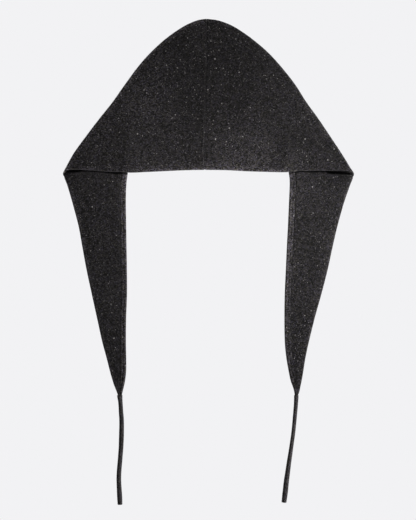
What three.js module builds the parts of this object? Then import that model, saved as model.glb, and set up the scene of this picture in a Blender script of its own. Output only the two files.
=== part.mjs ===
import * as THREE from 'three';

// A hooded scarf in charcoal fleck knit, lying folded flat with its face side down.
// Two halves meet at the centre seam. Each half is one wall of knit that runs from the seam
// over the back of the hood, round the side fold, back under the hood and down one tail.
// A ribbed band edges the face opening and both tails, and each tail ends in a round tie.
// Millimetres, +Z up, +Y towards the point of the hood, +X to the right. The origin lies on
// the table under the middle of the knitted body, ties left aside.

// Driving dimensions
const WALL = 2.2; // thickness of the plain knit
const CLEARANCE = 0.3; // gap between neighbouring pieces
const SEAM_X = -3; // the centre seam lies a little to the left of the middle
const BAND_WALL = 2.8; // the ribbed band is thicker than the plain knit
const BAND_WIDTH = 8.5;
const TIE_DIAMETER = 6.2;

// The face opening is cut out of the under layer and reaches up behind the upper layer
const OPENING_TOP = 125; // y of its upper edge
const OPENING_LEFT = -122; // x of its edges just below the rounded corners
const OPENING_RIGHT = 117;
const OPENING_CORNER = 24; // radius of its corners
const OPENING_LEAVES_HOOD = 43; // y where its edges come out from under the hood
const OPENING_SAG = 1.8; // the upper layer lies this much lower over the opening
const SAG_SLOPE = 16; // distance over which it comes down

// The hood from its point down to the corners, one row for each stretch of the side fold.
// side: y on the outline, left and right: x on the outline, seam: y where the row meets the
// centre seam, fold and crown: height of the outer surface at the side fold and at the seam,
// slant: how far the row slides along the fold while it goes round to the under layer.
const HOOD_ROWS = [
  { side: 282.8, left: -3.2, right: -2.8, seam: 244, fold: 5.8, crown: 8.5, slant: 0 },
  { side: 280.4, left: -16.8, right: 14.8, seam: 237, fold: 5.9, crown: 9.2, slant: 0 },
  { side: 273.8, left: -32.7, right: 33.1, seam: 230, fold: 6.1, crown: 10.0, slant: 0 },
  { side: 264.8, left: -47.5, right: 48.7, seam: 223, fold: 6.3, crown: 10.8, slant: 0 },
  { side: 251.3, left: -65.8, right: 67.5, seam: 214, fold: 6.5, crown: 11.6, slant: 0 },
  { side: 233.3, left: -85.4, right: 88.6, seam: 203, fold: 6.8, crown: 12.2, slant: 0 },
  { side: 212.3, left: -104.3, right: 108.1, seam: 190, fold: 7.1, crown: 12.6, slant: 0 },
  { side: 185.3, left: -124.3, right: 129.5, seam: 174, fold: 7.5, crown: 12.6, slant: 0 },
  { side: 158.3, left: -143.3, right: 146.8, seam: 155, fold: 7.9, crown: 12.4, slant: 0 },
  { side: 131.3, left: -164.7, right: 166.2, seam: 134, fold: 8.3, crown: 12.1, slant: 0 },
  { side: 104.3, left: -185.1, right: 184.3, seam: 107, fold: 8.7, crown: 11.9, slant: 1.5 },
  { side: 79.8, left: -202.5, right: 200.4, seam: 81, fold: 9.1, crown: 11.8, slant: 4.5 },
  { side: 51.8, left: -217.3, right: 217.3, seam: 56, fold: 9.4, crown: 11.8, slant: 7.8 },
];

// The tails from the corners down to their tips: x of the outer and inner edge on each side,
// band: width of the ribbed band, gather: how much thicker the knit is where it is drawn in.
const TAIL_ROWS = [
  { y: 32.3, leftOut: -211.0, leftIn: -123.6, rightIn: 122.4, rightOut: 212.0, band: 8.5, gather: 0 },
  { y: 8.3, leftOut: -203.8, leftIn: -124.0, rightIn: 121.4, rightOut: 203.6, band: 8.5, gather: 0 },
  { y: -27.8, leftOut: -194.2, leftIn: -123.5, rightIn: 119.8, rightOut: 193.3, band: 8.5, gather: 0 },
  { y: -57.8, leftOut: -188.7, leftIn: -123.0, rightIn: 118.2, rightOut: 186.3, band: 8.5, gather: 0 },
  { y: -93.8, leftOut: -182.1, leftIn: -122.4, rightIn: 116.6, rightOut: 178.5, band: 8.5, gather: 0 },
  { y: -129.8, leftOut: -174.4, leftIn: -122.3, rightIn: 115.0, rightOut: 169.2, band: 8.5, gather: 0 },
  { y: -165.8, leftOut: -166.6, leftIn: -123.6, rightIn: 114.5, rightOut: 159.2, band: 8.5, gather: 0 },
  { y: -201.8, leftOut: -158.6, leftIn: -123.9, rightIn: 115.1, rightOut: 150.5, band: 8.5, gather: 0 },
  { y: -225.8, leftOut: -152.2, leftIn: -123.5, rightIn: 117.5, rightOut: 145.4, band: 8.3, gather: 0 },
  { y: -243.8, leftOut: -147.6, leftIn: -123.5, rightIn: 120.6, rightOut: 142.5, band: 7.6, gather: 0.3 },
  { y: -258.8, leftOut: -143.3, leftIn: -125.0, rightIn: 123.7, rightOut: 139.8, band: 6.4, gather: 0.9 },
  { y: -270.8, leftOut: -139.4, leftIn: -127.2, rightIn: 127.6, rightOut: 137.0, band: 4.6, gather: 1.7 },
  { y: -282.8, leftOut: -136.0, leftIn: -129.2, rightIn: 129.2, rightOut: 134.8, band: 2.6, gather: 2.4 },
];

// Routes of the ties on the table, from the tip of the tail to the bare end
const LEFT_TIE = [
  [-132.6, -283.5], [-131.9, -290], [-131.3, -298], [-130.8, -307], [-130.1, -316], [-129.9, -325],
  [-130.0, -334], [-130.2, -343], [-130.5, -352], [-130.9, -361], [-131.6, -370], [-132.3, -379],
  [-133.1, -388], [-133.8, -397], [-134.1, -406], [-133.9, -415], [-133.4, -424], [-132.9, -433],
  [-132.4, -444.5],
];
const RIGHT_TIE = [
  [131.9, -283.4], [131.6, -290], [131.1, -298], [130.3, -307], [129.5, -316], [128.7, -325],
  [127.8, -334], [126.7, -343], [125.4, -352], [124.1, -361], [122.8, -370], [121.4, -379],
  [120.1, -388], [118.9, -397], [117.6, -406], [116.5, -415], [115.6, -424], [114.5, -433],
  [113.4, -441.5],
];

// How finely each stretch of a row is divided
const CELLS = { upper: 10, fold: 6, outerUnder: 4, openingTop: 4, openingArc: 2, band: 2 };
const STEPS_PER_HOOD_ROW = 2; // grid rows from one row of the hood table to the next
const TIE_SIDES = 10;
const TIE_STEPS = 12;

const LAST_HOOD_ROW = HOOD_ROWS.length - 1;
const OPENING_ROW = 9; // the row of the hood table that runs along the top of the opening
const UNDER_DIVISION = 1 / 3; // share of an under layer row that lies outside the opening's edges
const SIDES = { left: -1, right: 1 };

// A column of the hood table at a place that may lie between two rows
function hoodValue(place, column) {
  const row = Math.min(Math.floor(place), LAST_HOOD_ROW - 1);
  return THREE.MathUtils.lerp(HOOD_ROWS[row][column], HOOD_ROWS[row + 1][column], place - row);
}

function outlineCurve(sideName) {
  return new THREE.SplineCurve(HOOD_ROWS.map((row) => new THREE.Vector2(row[sideName], row.side)));
}

// The edge of the face opening on one side: from the seam along its upper edge, round its
// corner, down to the hood's lower edge and on to the tip of the tail. Each station gives the
// point on the free edge, the direction into the cloth, the band's width and its thickness.
function openingStations(sideName) {
  const direction = SIDES[sideName];
  const edgeX = sideName === 'left' ? OPENING_LEFT : OPENING_RIGHT;
  const arcX = edgeX - direction * OPENING_CORNER;
  const arcY = OPENING_TOP - OPENING_CORNER;
  const stations = [];
  for (let step = 0; step <= CELLS.openingTop; step += 1) {
    const x = THREE.MathUtils.lerp(SEAM_X, arcX, step / CELLS.openingTop);
    stations.push({ x, y: OPENING_TOP, inward: [0, 1], width: BAND_WIDTH, wall: BAND_WALL });
  }
  for (let step = 1; step <= 2 * CELLS.openingArc; step += 1) {
    const turn = (Math.PI / 2) * (1 - step / (2 * CELLS.openingArc));
    const inward = [direction * Math.cos(turn), Math.sin(turn)];
    const x = arcX + OPENING_CORNER * inward[0];
    const y = arcY + OPENING_CORNER * inward[1];
    stations.push({ x, y, inward, width: BAND_WIDTH, wall: BAND_WALL });
  }
  const innerColumn = `${sideName}In`;
  const straightSteps = (LAST_HOOD_ROW - OPENING_ROW) * STEPS_PER_HOOD_ROW - CELLS.openingArc;
  for (let step = 1; step <= straightSteps; step += 1) {
    const share = step / straightSteps;
    const x = THREE.MathUtils.lerp(edgeX, TAIL_ROWS[0][innerColumn], share);
    const y = THREE.MathUtils.lerp(arcY, OPENING_LEAVES_HOOD, share);
    stations.push({ x, y, inward: [direction, 0], width: BAND_WIDTH, wall: BAND_WALL });
  }
  for (const row of TAIL_ROWS) {
    const wall = BAND_WALL + row.gather;
    stations.push({ x: row[innerColumn], y: row.y, inward: [direction, 0], width: row.band, wall });
  }
  return stations;
}

// A point at a distance from the free edge of the opening, measured into the cloth
function besideOpening(station, distance, z) {
  const x = station.x + station.inward[0] * distance;
  const y = station.y + station.inward[1] * distance;
  return new THREE.Vector3(x, y, z);
}

// How far the upper layer sags over the face opening
function sagAt(x, y) {
  const { smoothstep } = THREE.MathUtils;
  const reach = SAG_SLOPE / 2;
  const pastLeft = smoothstep(x, OPENING_LEFT - reach, OPENING_LEFT + reach);
  const pastRight = smoothstep(x, OPENING_RIGHT - reach, OPENING_RIGHT + reach);
  const pastTop = smoothstep(y, OPENING_TOP - reach, OPENING_TOP + reach);
  return OPENING_SAG * pastLeft * (1 - pastRight) * (1 - pastTop);
}

// The points of a row round the side fold, from the upper layer to the under layer
function foldPoints(sideName, place, outline) {
  const height = hoodValue(place, 'fold');
  const slant = hoodValue(place, 'slant');
  const radius = (height - WALL) / 2;
  const edge = outline.getPoint(place / LAST_HOOD_ROW);
  const along = outline.getTangent(place / LAST_HOOD_ROW);
  const outward = place === 0
    ? new THREE.Vector2(0, 1)
    : new THREE.Vector2(-along.y, along.x).multiplyScalar(SIDES[sideName]);
  const points = [];
  for (let cell = 0; cell <= CELLS.fold; cell += 1) {
    const angle = Math.PI * (0.5 - cell / CELLS.fold);
    const spot = edge.clone();
    spot.addScaledVector(outward, radius * Math.cos(angle) - height / 2);
    spot.addScaledVector(along, (-slant * angle) / Math.PI);
    points.push(new THREE.Vector3(spot.x, spot.y, height / 2 + radius * Math.sin(angle)));
  }
  return points;
}

// The points of a row on the upper layer, from the seam up to the fold's first point
function upperPoints(place, seamX, foldStart) {
  const seam = new THREE.Vector3(seamX, hoodValue(place, 'seam'), 0);
  const points = [];
  for (let cell = 0; cell < CELLS.upper; cell += 1) {
    const share = cell / CELLS.upper;
    const point = seam.clone().lerp(foldStart, share);
    const height = THREE.MathUtils.lerp(hoodValue(place, 'crown'), hoodValue(place, 'fold'), share ** 3);
    point.z = height - sagAt(point.x, point.y) - WALL / 2;
    points.push(point);
  }
  return points;
}

// The points of a row on the under layer, from the fold's last point back to the opening or,
// in the rows above the opening, back to the seam
function underPoints(place, seamX, foldEnd, stations) {
  const openingCells = CELLS.openingTop + CELLS.openingArc;
  const seam = new THREE.Vector3(seamX, hoodValue(place, 'seam'), WALL / 2);
  const besideBand = (number) => {
    const station = stations[number];
    return besideOpening(station, station.width + CLEARANCE, WALL / 2);
  };
  const division = place < OPENING_ROW
    ? foldEnd.clone().lerp(seam, UNDER_DIVISION)
    : besideBand(openingCells + (place - OPENING_ROW) * STEPS_PER_HOOD_ROW);
  const points = [];
  for (let cell = 1; cell <= CELLS.outerUnder; cell += 1) {
    points.push(foldEnd.clone().lerp(division, cell / CELLS.outerUnder));
  }
  for (let cell = 1; cell <= openingCells; cell += 1) {
    if (place < OPENING_ROW) {
      points.push(division.clone().lerp(seam, cell / openingCells));
    } else if (place === OPENING_ROW) {
      points.push(besideBand(openingCells - cell));
    }
  }
  if (place === OPENING_ROW) {
    points[points.length - 1].x = seamX;
  }
  return points;
}

// One row of the hood, as points on the middle surface of the knit
function hoodRow(sideName, place, outline, stations) {
  const seamX = SEAM_X + (SIDES[sideName] * CLEARANCE) / 2;
  const fold = foldPoints(sideName, place, outline);
  const upper = upperPoints(place, seamX, fold[0]);
  const under = underPoints(place, seamX, fold[fold.length - 1], stations);
  return [...upper, ...fold, ...under];
}

// One row of a tail: a single layer, so the columns of the upper layer and fold stay empty
function tailRow(sideName, row, station) {
  const middle = (WALL + row.gather) / 2;
  const outer = new THREE.Vector3(row[`${sideName}Out`], row.y, middle);
  const inner = besideOpening(station, station.width + CLEARANCE, middle);
  const points = new Array(CELLS.upper + CELLS.fold);
  for (let cell = 0; cell <= CELLS.outerUnder; cell += 1) {
    points.push(outer.clone().lerp(inner, cell / CELLS.outerUnder));
  }
  return points;
}

// A closed wall around a grid of points on its middle surface. A cell of the grid is cloth
// where all four of its corners are given. walls holds each row's thickness, and onSeam says
// where the edge of the wall has to stand square to X.
function wallGeometry(grid, walls, onSeam) {
  const normals = grid.map((row) => row.map((point) => point && new THREE.Vector3()));
  const cornersOf = (row, column) => [
    [row, column], [row, column + 1], [row + 1, column + 1], [row + 1, column],
  ];
  const isCloth = (row, column) => cornersOf(row, column).every(([r, c]) => grid[r]?.[c]);
  const cells = [];
  for (let row = 0; row < grid.length - 1; row += 1) {
    for (let column = 0; column < grid[row].length - 1; column += 1) {
      if (isCloth(row, column)) {
        cells.push([row, column]);
      }
    }
  }
  for (const [row, column] of cells) {
    const corners = cornersOf(row, column);
    const [first, second, third, fourth] = corners.map(([r, c]) => grid[r][c]);
    const diagonal = third.clone().sub(first);
    const normal = diagonal.cross(fourth.clone().sub(second));
    corners.forEach(([r, c]) => normals[r][c].add(normal));
  }
  const positions = [];
  const numbers = new Map();
  const vertex = ([row, column], face) => {
    const key = `${row} ${column} ${face}`;
    if (!numbers.has(key)) {
      const normal = normals[row][column].clone();
      if (onSeam(row, column)) {
        normal.x = 0;
      }
      const offset = normal.setLength((face * walls[row]) / 2);
      numbers.set(key, positions.length / 3);
      positions.push(...grid[row][column].clone().add(offset).toArray());
    }
    return numbers.get(key);
  };
  const indices = [];
  const quad = (a, b, c, d) => indices.push(a, b, c, a, c, d);
  for (const [row, column] of cells) {
    const corners = cornersOf(row, column);
    quad(...corners.map((corner) => vertex(corner, 1)));
    quad(...corners.map((corner) => vertex(corner, -1)).reverse());
    const neighbours = [[row - 1, column], [row, column + 1], [row + 1, column], [row, column - 1]];
    neighbours.forEach(([r, c], edge) => {
      if (!isCloth(r, c)) {
        const start = corners[edge];
        const end = corners[(edge + 1) % corners.length];
        quad(vertex(end, 1), vertex(start, 1), vertex(start, -1), vertex(end, -1));
      }
    });
  }
  const geometry = new THREE.BufferGeometry();
  geometry.setAttribute('position', new THREE.Float32BufferAttribute(positions, 3));
  geometry.setIndex(indices);
  return facingOut(geometry);
}

// Turns all triangles over where a closed geometry comes out inside out
function facingOut(geometry) {
  const position = geometry.getAttribute('position');
  const index = geometry.getIndex();
  const corners = [new THREE.Vector3(), new THREE.Vector3(), new THREE.Vector3()];
  let volume = 0;
  for (let start = 0; start < index.count; start += 3) {
    corners.forEach((corner, number) => corner.fromBufferAttribute(position, index.getX(start + number)));
    volume += corners[0].dot(corners[1].clone().cross(corners[2]));
  }
  if (volume < 0) {
    geometry.setIndex([...index.array].reverse());
  }
  geometry.computeVertexNormals();
  return geometry;
}

function panelGeometry(sideName) {
  const outline = outlineCurve(sideName);
  const stations = openingStations(sideName);
  const hoodSteps = LAST_HOOD_ROW * STEPS_PER_HOOD_ROW;
  const grid = [];
  const walls = [];
  for (let step = 0; step <= hoodSteps; step += 1) {
    grid.push(hoodRow(sideName, step / STEPS_PER_HOOD_ROW, outline, stations));
    walls.push(WALL);
  }
  TAIL_ROWS.forEach((row, number) => {
    const station = stations[stations.length - TAIL_ROWS.length + number];
    grid.push(tailRow(sideName, row, station));
    walls.push(WALL + row.gather);
  });
  const lastColumn = grid[0].length - 1;
  const onSeam = (row, column) => row === 0 || column === 0 || column === lastColumn;
  return wallGeometry(grid, walls, onSeam);
}

function bandGeometry() {
  const leftToSeam = openingStations('left').reverse();
  const stations = [...leftToSeam.slice(0, -1), ...openingStations('right')];
  const grid = stations.map((station) => {
    const points = [];
    for (let cell = 0; cell <= CELLS.band; cell += 1) {
      points.push(besideOpening(station, (station.width * cell) / CELLS.band, station.wall / 2));
    }
    return points;
  });
  return wallGeometry(grid, stations.map((station) => station.wall), () => false);
}

// A tie is a plain round cord that lies on the table along its route
function tieGeometry(route) {
  const radius = TIE_DIAMETER / 2;
  const points = route.map(([x, y]) => new THREE.Vector3(x, y, radius));
  const section = new THREE.Shape();
  for (let side = 0; side < TIE_SIDES; side += 1) {
    const angle = (2 * Math.PI * side) / TIE_SIDES;
    const corner = [radius * Math.cos(angle), radius * Math.sin(angle)];
    if (side === 0) {
      section.moveTo(...corner);
    } else {
      section.lineTo(...corner);
    }
  }
  section.closePath();
  return new THREE.ExtrudeGeometry(section, {
    steps: TIE_STEPS,
    bevelEnabled: false,
    extrudePath: new THREE.CatmullRomCurve3(points),
  });
}

const plainKnit = new THREE.MeshStandardMaterial({ color: 0x2b292a, roughness: 0.95, metalness: 0 });
const ribKnit = new THREE.MeshStandardMaterial({ color: 0x343132, roughness: 0.95, metalness: 0 });
const cordKnit = new THREE.MeshStandardMaterial({ color: 0x262425, roughness: 0.95, metalness: 0 });

function piece(name, geometry, material) {
  const mesh = new THREE.Mesh(geometry, material);
  mesh.name = name;
  return mesh;
}

const scarf = new THREE.Group();
scarf.add(
  piece('left_panel', panelGeometry('left'), plainKnit),
  piece('right_panel', panelGeometry('right'), plainKnit),
  piece('face_band', bandGeometry(), ribKnit),
  piece('left_tie', tieGeometry(LEFT_TIE), cordKnit),
  piece('right_tie', tieGeometry(RIGHT_TIE), cordKnit),
);

export default scarf;
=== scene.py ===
# A hooded scarf in charcoal fleck knit, lying folded flat, seen from straight above.
# Metres, +Z up, +Y towards the point of the hood, +X to the right, in the frame of the CAD model.
# The tables of the body are in millimetres, as in the CAD source, and scaled where they are used.
import math

import bpy
import numpy as np
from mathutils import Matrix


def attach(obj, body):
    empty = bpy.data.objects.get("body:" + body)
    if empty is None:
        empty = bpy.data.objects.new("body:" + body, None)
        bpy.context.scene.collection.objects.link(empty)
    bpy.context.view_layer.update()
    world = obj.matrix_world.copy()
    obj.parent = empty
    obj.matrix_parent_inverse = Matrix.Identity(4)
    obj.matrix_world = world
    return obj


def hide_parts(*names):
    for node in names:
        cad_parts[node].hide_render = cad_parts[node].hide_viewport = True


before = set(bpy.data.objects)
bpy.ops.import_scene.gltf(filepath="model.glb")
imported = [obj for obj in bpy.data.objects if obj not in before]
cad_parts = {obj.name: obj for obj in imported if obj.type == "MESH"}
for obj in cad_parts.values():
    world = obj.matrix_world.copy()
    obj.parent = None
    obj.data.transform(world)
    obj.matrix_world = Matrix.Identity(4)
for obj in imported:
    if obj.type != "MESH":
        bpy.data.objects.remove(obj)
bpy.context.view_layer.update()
MM = 0.001

# Driving dimensions of the body, in millimetres
WALL = 2.2
SEAM_X = -3.0
BAND_WALL = 2.8
BAND_WIDTH = 8.5
TIE_DIAMETER = 6.2
OPENING_TOP = 125.0
OPENING_LEFT = -122.0
OPENING_RIGHT = 117.0
OPENING_CORNER = 24.0
OPENING_LEAVES_HOOD = 43.0
OPENING_ROW = 9
LAST_ROW = 12

# The hood from its point down to the corners: y and x of the outline on both sides, y where the
# row meets the centre seam, outer height at the side fold and at the seam, slide along the fold
HOOD_COLUMNS = ("side", "left", "right", "seam", "fold", "crown", "slant")
HOOD_ROWS = np.array([
    (282.8, -3.2, -2.8, 244, 5.8, 8.5, 0),
    (280.4, -16.8, 14.8, 237, 5.9, 9.2, 0),
    (273.8, -32.7, 33.1, 230, 6.1, 10.0, 0),
    (264.8, -47.5, 48.7, 223, 6.3, 10.8, 0),
    (251.3, -65.8, 67.5, 214, 6.5, 11.6, 0),
    (233.3, -85.4, 88.6, 203, 6.8, 12.2, 0),
    (212.3, -104.3, 108.1, 190, 7.1, 12.6, 0),
    (185.3, -124.3, 129.5, 174, 7.5, 12.6, 0),
    (158.3, -143.3, 146.8, 155, 7.9, 12.4, 0),
    (131.3, -164.7, 166.2, 134, 8.3, 12.1, 0),
    (104.3, -185.1, 184.3, 107, 8.7, 11.9, 1.5),
    (79.8, -202.5, 200.4, 81, 9.1, 11.8, 4.5),
    (51.8, -217.3, 217.3, 56, 9.4, 11.8, 7.8),
])

# The tails from the corners down to their tips: x of both edges on each side, width of the
# ribbed band, and how much thicker the knit is where it is drawn in
TAIL_COLUMNS = ("y", "left_out", "left_in", "right_in", "right_out", "band", "gather")
TAIL_ROWS = np.array([
    (32.3, -211.0, -123.6, 122.4, 212.0, 8.5, 0),
    (8.3, -203.8, -124.0, 121.4, 203.6, 8.5, 0),
    (-27.8, -194.2, -123.5, 119.8, 193.3, 8.5, 0),
    (-57.8, -188.7, -123.0, 118.2, 186.3, 8.5, 0),
    (-93.8, -182.1, -122.4, 116.6, 178.5, 8.5, 0),
    (-129.8, -174.4, -122.3, 115.0, 169.2, 8.5, 0),
    (-165.8, -166.6, -123.6, 114.5, 159.2, 8.5, 0),
    (-201.8, -158.6, -123.9, 115.1, 150.5, 8.5, 0),
    (-225.8, -152.2, -123.5, 117.5, 145.4, 8.3, 0),
    (-243.8, -147.6, -123.5, 120.6, 142.5, 7.6, 0.3),
    (-258.8, -143.3, -125.0, 123.7, 139.8, 6.4, 0.9),
    (-270.8, -139.4, -127.2, 127.6, 137.0, 4.6, 1.7),
    (-282.8, -136.0, -129.2, 129.2, 134.8, 2.6, 2.4),
])

# Routes of the ties in metres, from the tip of the tail to the bare end
TIE_ROUTES = {
    "left": [
        (-0.1326, -0.2835), (-0.1319, -0.290), (-0.1313, -0.298), (-0.1308, -0.307), (-0.1301, -0.316),
        (-0.1299, -0.325), (-0.1300, -0.334), (-0.1302, -0.343), (-0.1305, -0.352), (-0.1309, -0.361),
        (-0.1316, -0.370), (-0.1323, -0.379), (-0.1331, -0.388), (-0.1338, -0.397), (-0.1341, -0.406),
        (-0.1339, -0.415), (-0.1334, -0.424), (-0.1329, -0.433), (-0.1323, -0.4458),
    ],
    "right": [
        (0.1319, -0.2834), (0.1316, -0.290), (0.1311, -0.298), (0.1303, -0.307), (0.1295, -0.316),
        (0.1287, -0.325), (0.1278, -0.334), (0.1267, -0.343), (0.1254, -0.352), (0.1241, -0.361),
        (0.1228, -0.370), (0.1214, -0.379), (0.1201, -0.388), (0.1189, -0.397), (0.1176, -0.406),
        (0.1165, -0.415), (0.1156, -0.424), (0.1145, -0.433), (0.1133, -0.4426),
    ],
}

# How the hood's lower edge lies, and how wide the fold stands open under it (x, millimetres)
HEM_LINE = np.array([
    (-211, 56.6), (-200, 56.6), (-186, 56.6), (-175, 55.7), (-165, 54.9), (-150, 53.8), (-140, 53.7),
    (-128, 53.4), (-116, 52.3), (-95, 53.2), (-72, 54.3), (-28, 56.2), (25, 56.2), (55, 54.6), (100, 53.1),
    (117, 53.0), (137, 54.8), (160, 55.2), (185, 55.4), (200, 55.6), (208, 55.2), (212, 54.5),
])
FOLD_GAP = np.array([
    (-214, 1.0), (-209, 4.6), (-196, 4.2), (-186, 2.2), (-165, 1.9), (-152, 2.4), (-140, 3.8), (-122, 3.6),
    (123, 1.8), (140, 2.2), (166, 2.0), (175, 2.8), (181, 5.2), (200, 6.2), (210, 6.4), (214, 2.6),
])

# How finely the meshes are divided, in millimetres and cells
ROW_STEP = 2.0
HEM_STEP = 0.6
HEM_REACH = 13.0
TAIL_FINE_REACH = 16.0
NEAR_SEAM = (0.0, 0.5, 1.1, 1.9, 3.0, 4.4)
UPPER_CELLS = 100
FOLD_CELLS = 14
OUTER_CELLS = 40
INNER_CELLS = 44
RIM_CELLS = 4

# How far rims reach past the outermost grid points, free, sewn and at the centre seam, and how far
# from the seam's middle the grid starts, in millimetres
FREE_RIM = WALL / 2
EDGE_FUZZ = 0.5
SEWN_RIM = 0.15
SEAM_RIM = 0.75
SEAM_HALF = 0.6
SEWN_INSET = BAND_WIDTH + SEWN_RIM
SIDES = {"left": -1.0, "right": 1.0}
UP = np.array([0.0, 0.0, 1.0])


def smoothstep(low, high, value):
    share = np.clip((value - low) / (high - low), 0.0, 1.0)
    return share * share * (3.0 - 2.0 * share)


def lerp(start, end, share):
    return start + (end - start) * share


def hump(distance, width, power=2.0):
    """A smooth rise to 1 where the distance is 0."""
    return np.exp(-np.abs(distance / width) ** power)


def unit(vectors):
    return vectors / np.linalg.norm(vectors, axis=-1, keepdims=True)


def pairs(x, y):
    return np.stack([x, y], axis=-1)


def between(start, end, share):
    """Points on the rows that run from one line of points to another."""
    return lerp(start[:, None], end[:, None], share[..., None])


def spline(keys, values, places):
    """Values at places between keys, on a smooth curve through all of them."""
    keys = np.asarray(keys, float)
    values = np.asarray(values, float)
    steps = np.diff(keys).reshape((-1,) + (1,) * (values.ndim - 1))
    slopes = np.empty_like(values)
    slopes[1:-1] = (values[2:] - values[:-2]) / (steps[1:] + steps[:-1])
    slopes[0] = (values[1] - values[0]) / steps[0] / 2
    slopes[-1] = (values[-1] - values[-2]) / steps[-1] / 2
    start = np.clip(np.searchsorted(keys, places, side="right") - 1, 0, len(keys) - 2)
    step = steps[start]
    share = (np.asarray(places) - keys[start]).reshape((-1,) + (1,) * (values.ndim - 1)) / step
    blend = share * share * (3 - 2 * share)
    leave = share * (1 - share) ** 2 * step
    arrive = share * share * (share - 1) * step
    return lerp(values[start], values[start + 1], blend) + slopes[start] * leave + slopes[start + 1] * arrive


def run_along(points):
    """How far along a line of points each of them lies."""
    return np.concatenate([[0.0], np.cumsum(np.linalg.norm(np.diff(points, axis=0), axis=1))])


def points_at(places, run, points):
    """Points at places along a line."""
    return np.stack([np.interp(places, run, points[:, k]) for k in range(points.shape[1])], axis=1)


NOISE_CELLS = 64


def soft_noise(x, y, size, seed):
    """Smooth random heights between -1 and 1 that change over the given size."""
    grid = np.random.default_rng(seed).uniform(-1.0, 1.0, (NOISE_CELLS, NOISE_CELLS))
    across = np.asarray(x) / size
    down = np.asarray(y) / size
    column = np.floor(across).astype(int)
    row = np.floor(down).astype(int)
    right = smoothstep(0.0, 1.0, across - column)
    below = smoothstep(0.0, 1.0, down - row)

    def height(rows_on, columns_on):
        return grid[(row + rows_on) % NOISE_CELLS, (column + columns_on) % NOISE_CELLS]

    upper = lerp(height(0, 0), height(0, 1), right)
    lower = lerp(height(1, 0), height(1, 1), right)
    return lerp(upper, lower, below)


def hood_value(column, places):
    return spline(np.arange(LAST_ROW + 1), HOOD_ROWS[:, HOOD_COLUMNS.index(column)], places)


def hood_outline(side, places):
    return pairs(hood_value(side, places), hood_value("side", places))


def tail_column(name):
    return TAIL_ROWS[:, TAIL_COLUMNS.index(name)]


# Camera, straight above the scarf and far away, with the photograph's frame
VIEW_CENTRE = (-0.00045, -0.07875)
VIEW_HEIGHT = 0.78
CAMERA_DISTANCE = 4.0
CAMERA_CLIP = (0.1, 100.0)
SENSOR = 36.0


def make_camera():
    data = bpy.data.cameras.new("camera")
    data.sensor_width = SENSOR
    data.lens = SENSOR * CAMERA_DISTANCE / VIEW_HEIGHT
    data.clip_start, data.clip_end = CAMERA_CLIP
    camera = bpy.data.objects.new("camera", data)
    camera.location = (*VIEW_CENTRE, CAMERA_DISTANCE)
    bpy.context.scene.collection.objects.link(camera)
    bpy.context.scene.camera = camera
    bpy.context.scene.view_settings.view_transform = "Standard"


make_camera()


class Nodes:
    """A material's node tree, with short calls for the nodes that the knit needs."""

    def __init__(self, name):
        self.material = bpy.data.materials.new(name)
        self.material.use_nodes = True
        self.tree = self.material.node_tree
        self.shader = self.tree.nodes["Principled BSDF"]

    def add(self, kind, **settings):
        made = self.tree.nodes.new(kind)
        for name, value in settings.items():
            setattr(made, name, value)
        return made

    def plug(self, socket, value):
        if isinstance(value, bpy.types.NodeSocket):
            self.tree.links.new(value, socket)
        else:
            socket.default_value = value

    def fill(self, made, *values, **named):
        """A node after its inputs are filled, in order or by name."""
        for name, value in (*enumerate(values), *named.items()):
            self.plug(made.inputs[name if isinstance(name, int) else name.replace("_", " ")], value)
        return made

    def node(self, kind, *values, **named):
        return self.fill(self.add(kind), *values, **named)

    def math(self, operation, *values):
        return self.fill(self.add("ShaderNodeMath", operation=operation), *values).outputs[0]

    def vector_math(self, operation, *values, **named):
        made = self.add("ShaderNodeVectorMath", operation=operation)
        return self.fill(made, *values, **named).outputs[0]

    def attribute(self, name):
        return self.add("ShaderNodeAttribute", attribute_name=name).outputs["Fac"]

    def noise(self, vector, scale, detail=2.0, roughness=0.5):
        made = self.node("ShaderNodeTexNoise", Vector=vector, Scale=scale, Detail=detail, Roughness=roughness)
        return made.outputs["Fac"]

    def spread(self, value, given, wanted):
        """A value moved from one range to another, and held inside it."""
        made = self.node("ShaderNodeMapRange", Value=value, From_Min=given[0], From_Max=given[1],
                         To_Min=wanted[0], To_Max=wanted[1])
        return made.outputs[0]

    def mix(self, share, first, second):
        made = self.add("ShaderNodeMix", data_type="RGBA")
        return self.fill(made, Factor=share, A=first, B=second).outputs["Result"]

    def surface(self, colour, bump, gloss):
        """The material, once its colour, its bump and the values of its gloss are set."""
        self.fill(self.shader, Base_Color=colour, Normal=bump.outputs[0], **gloss)
        return self.material


# Yarn colours as linear light, and how the wool takes light
CHARCOAL = (0.0222, 0.0201, 0.0209, 1.0)
WARM_TINT = (1.0, 1.0, 0.65, 1.0)
COOL_TINT = (1.0, 1.0, 1.35, 1.0)
PALE_WOOL = (0.30, 0.285, 0.28, 1.0)
KNIT_GLOSS = {"Roughness": 0.92, "Specular IOR Level": 0.1, "Sheen Weight": 0.1, "Sheen Roughness": 0.5}
WOOL_GLOSS = {"Roughness": 0.9, "Specular IOR Level": 0.2}

# Layers of the meshes that the materials read
KNIT_MAP = "Knit"
# Painted light and shade, partly real nap, by which the knit's colour is multiplied
NAP_AND_PAINTED_LIGHT = "nap_and_painted_light"
TONE = "tone"

# Plain knit: a wale's width and a course's height in millimetres, and how unevenly they run
WALE = 1.75
COURSE = 1.3
WANDER_SCALE = 0.09
WANDER_REACH = 3.0
JITTER_SCALE = 0.55
JITTER_REACH = 0.7
SHIFT_ALONG = 0.8
LEG_SLANT = 0.6
LEG_SWELL = 0.28
FUZZ_SCALE = 3.2
FUZZ_SHARE = 0.5
STITCH_RELIEF = 0.0005
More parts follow.
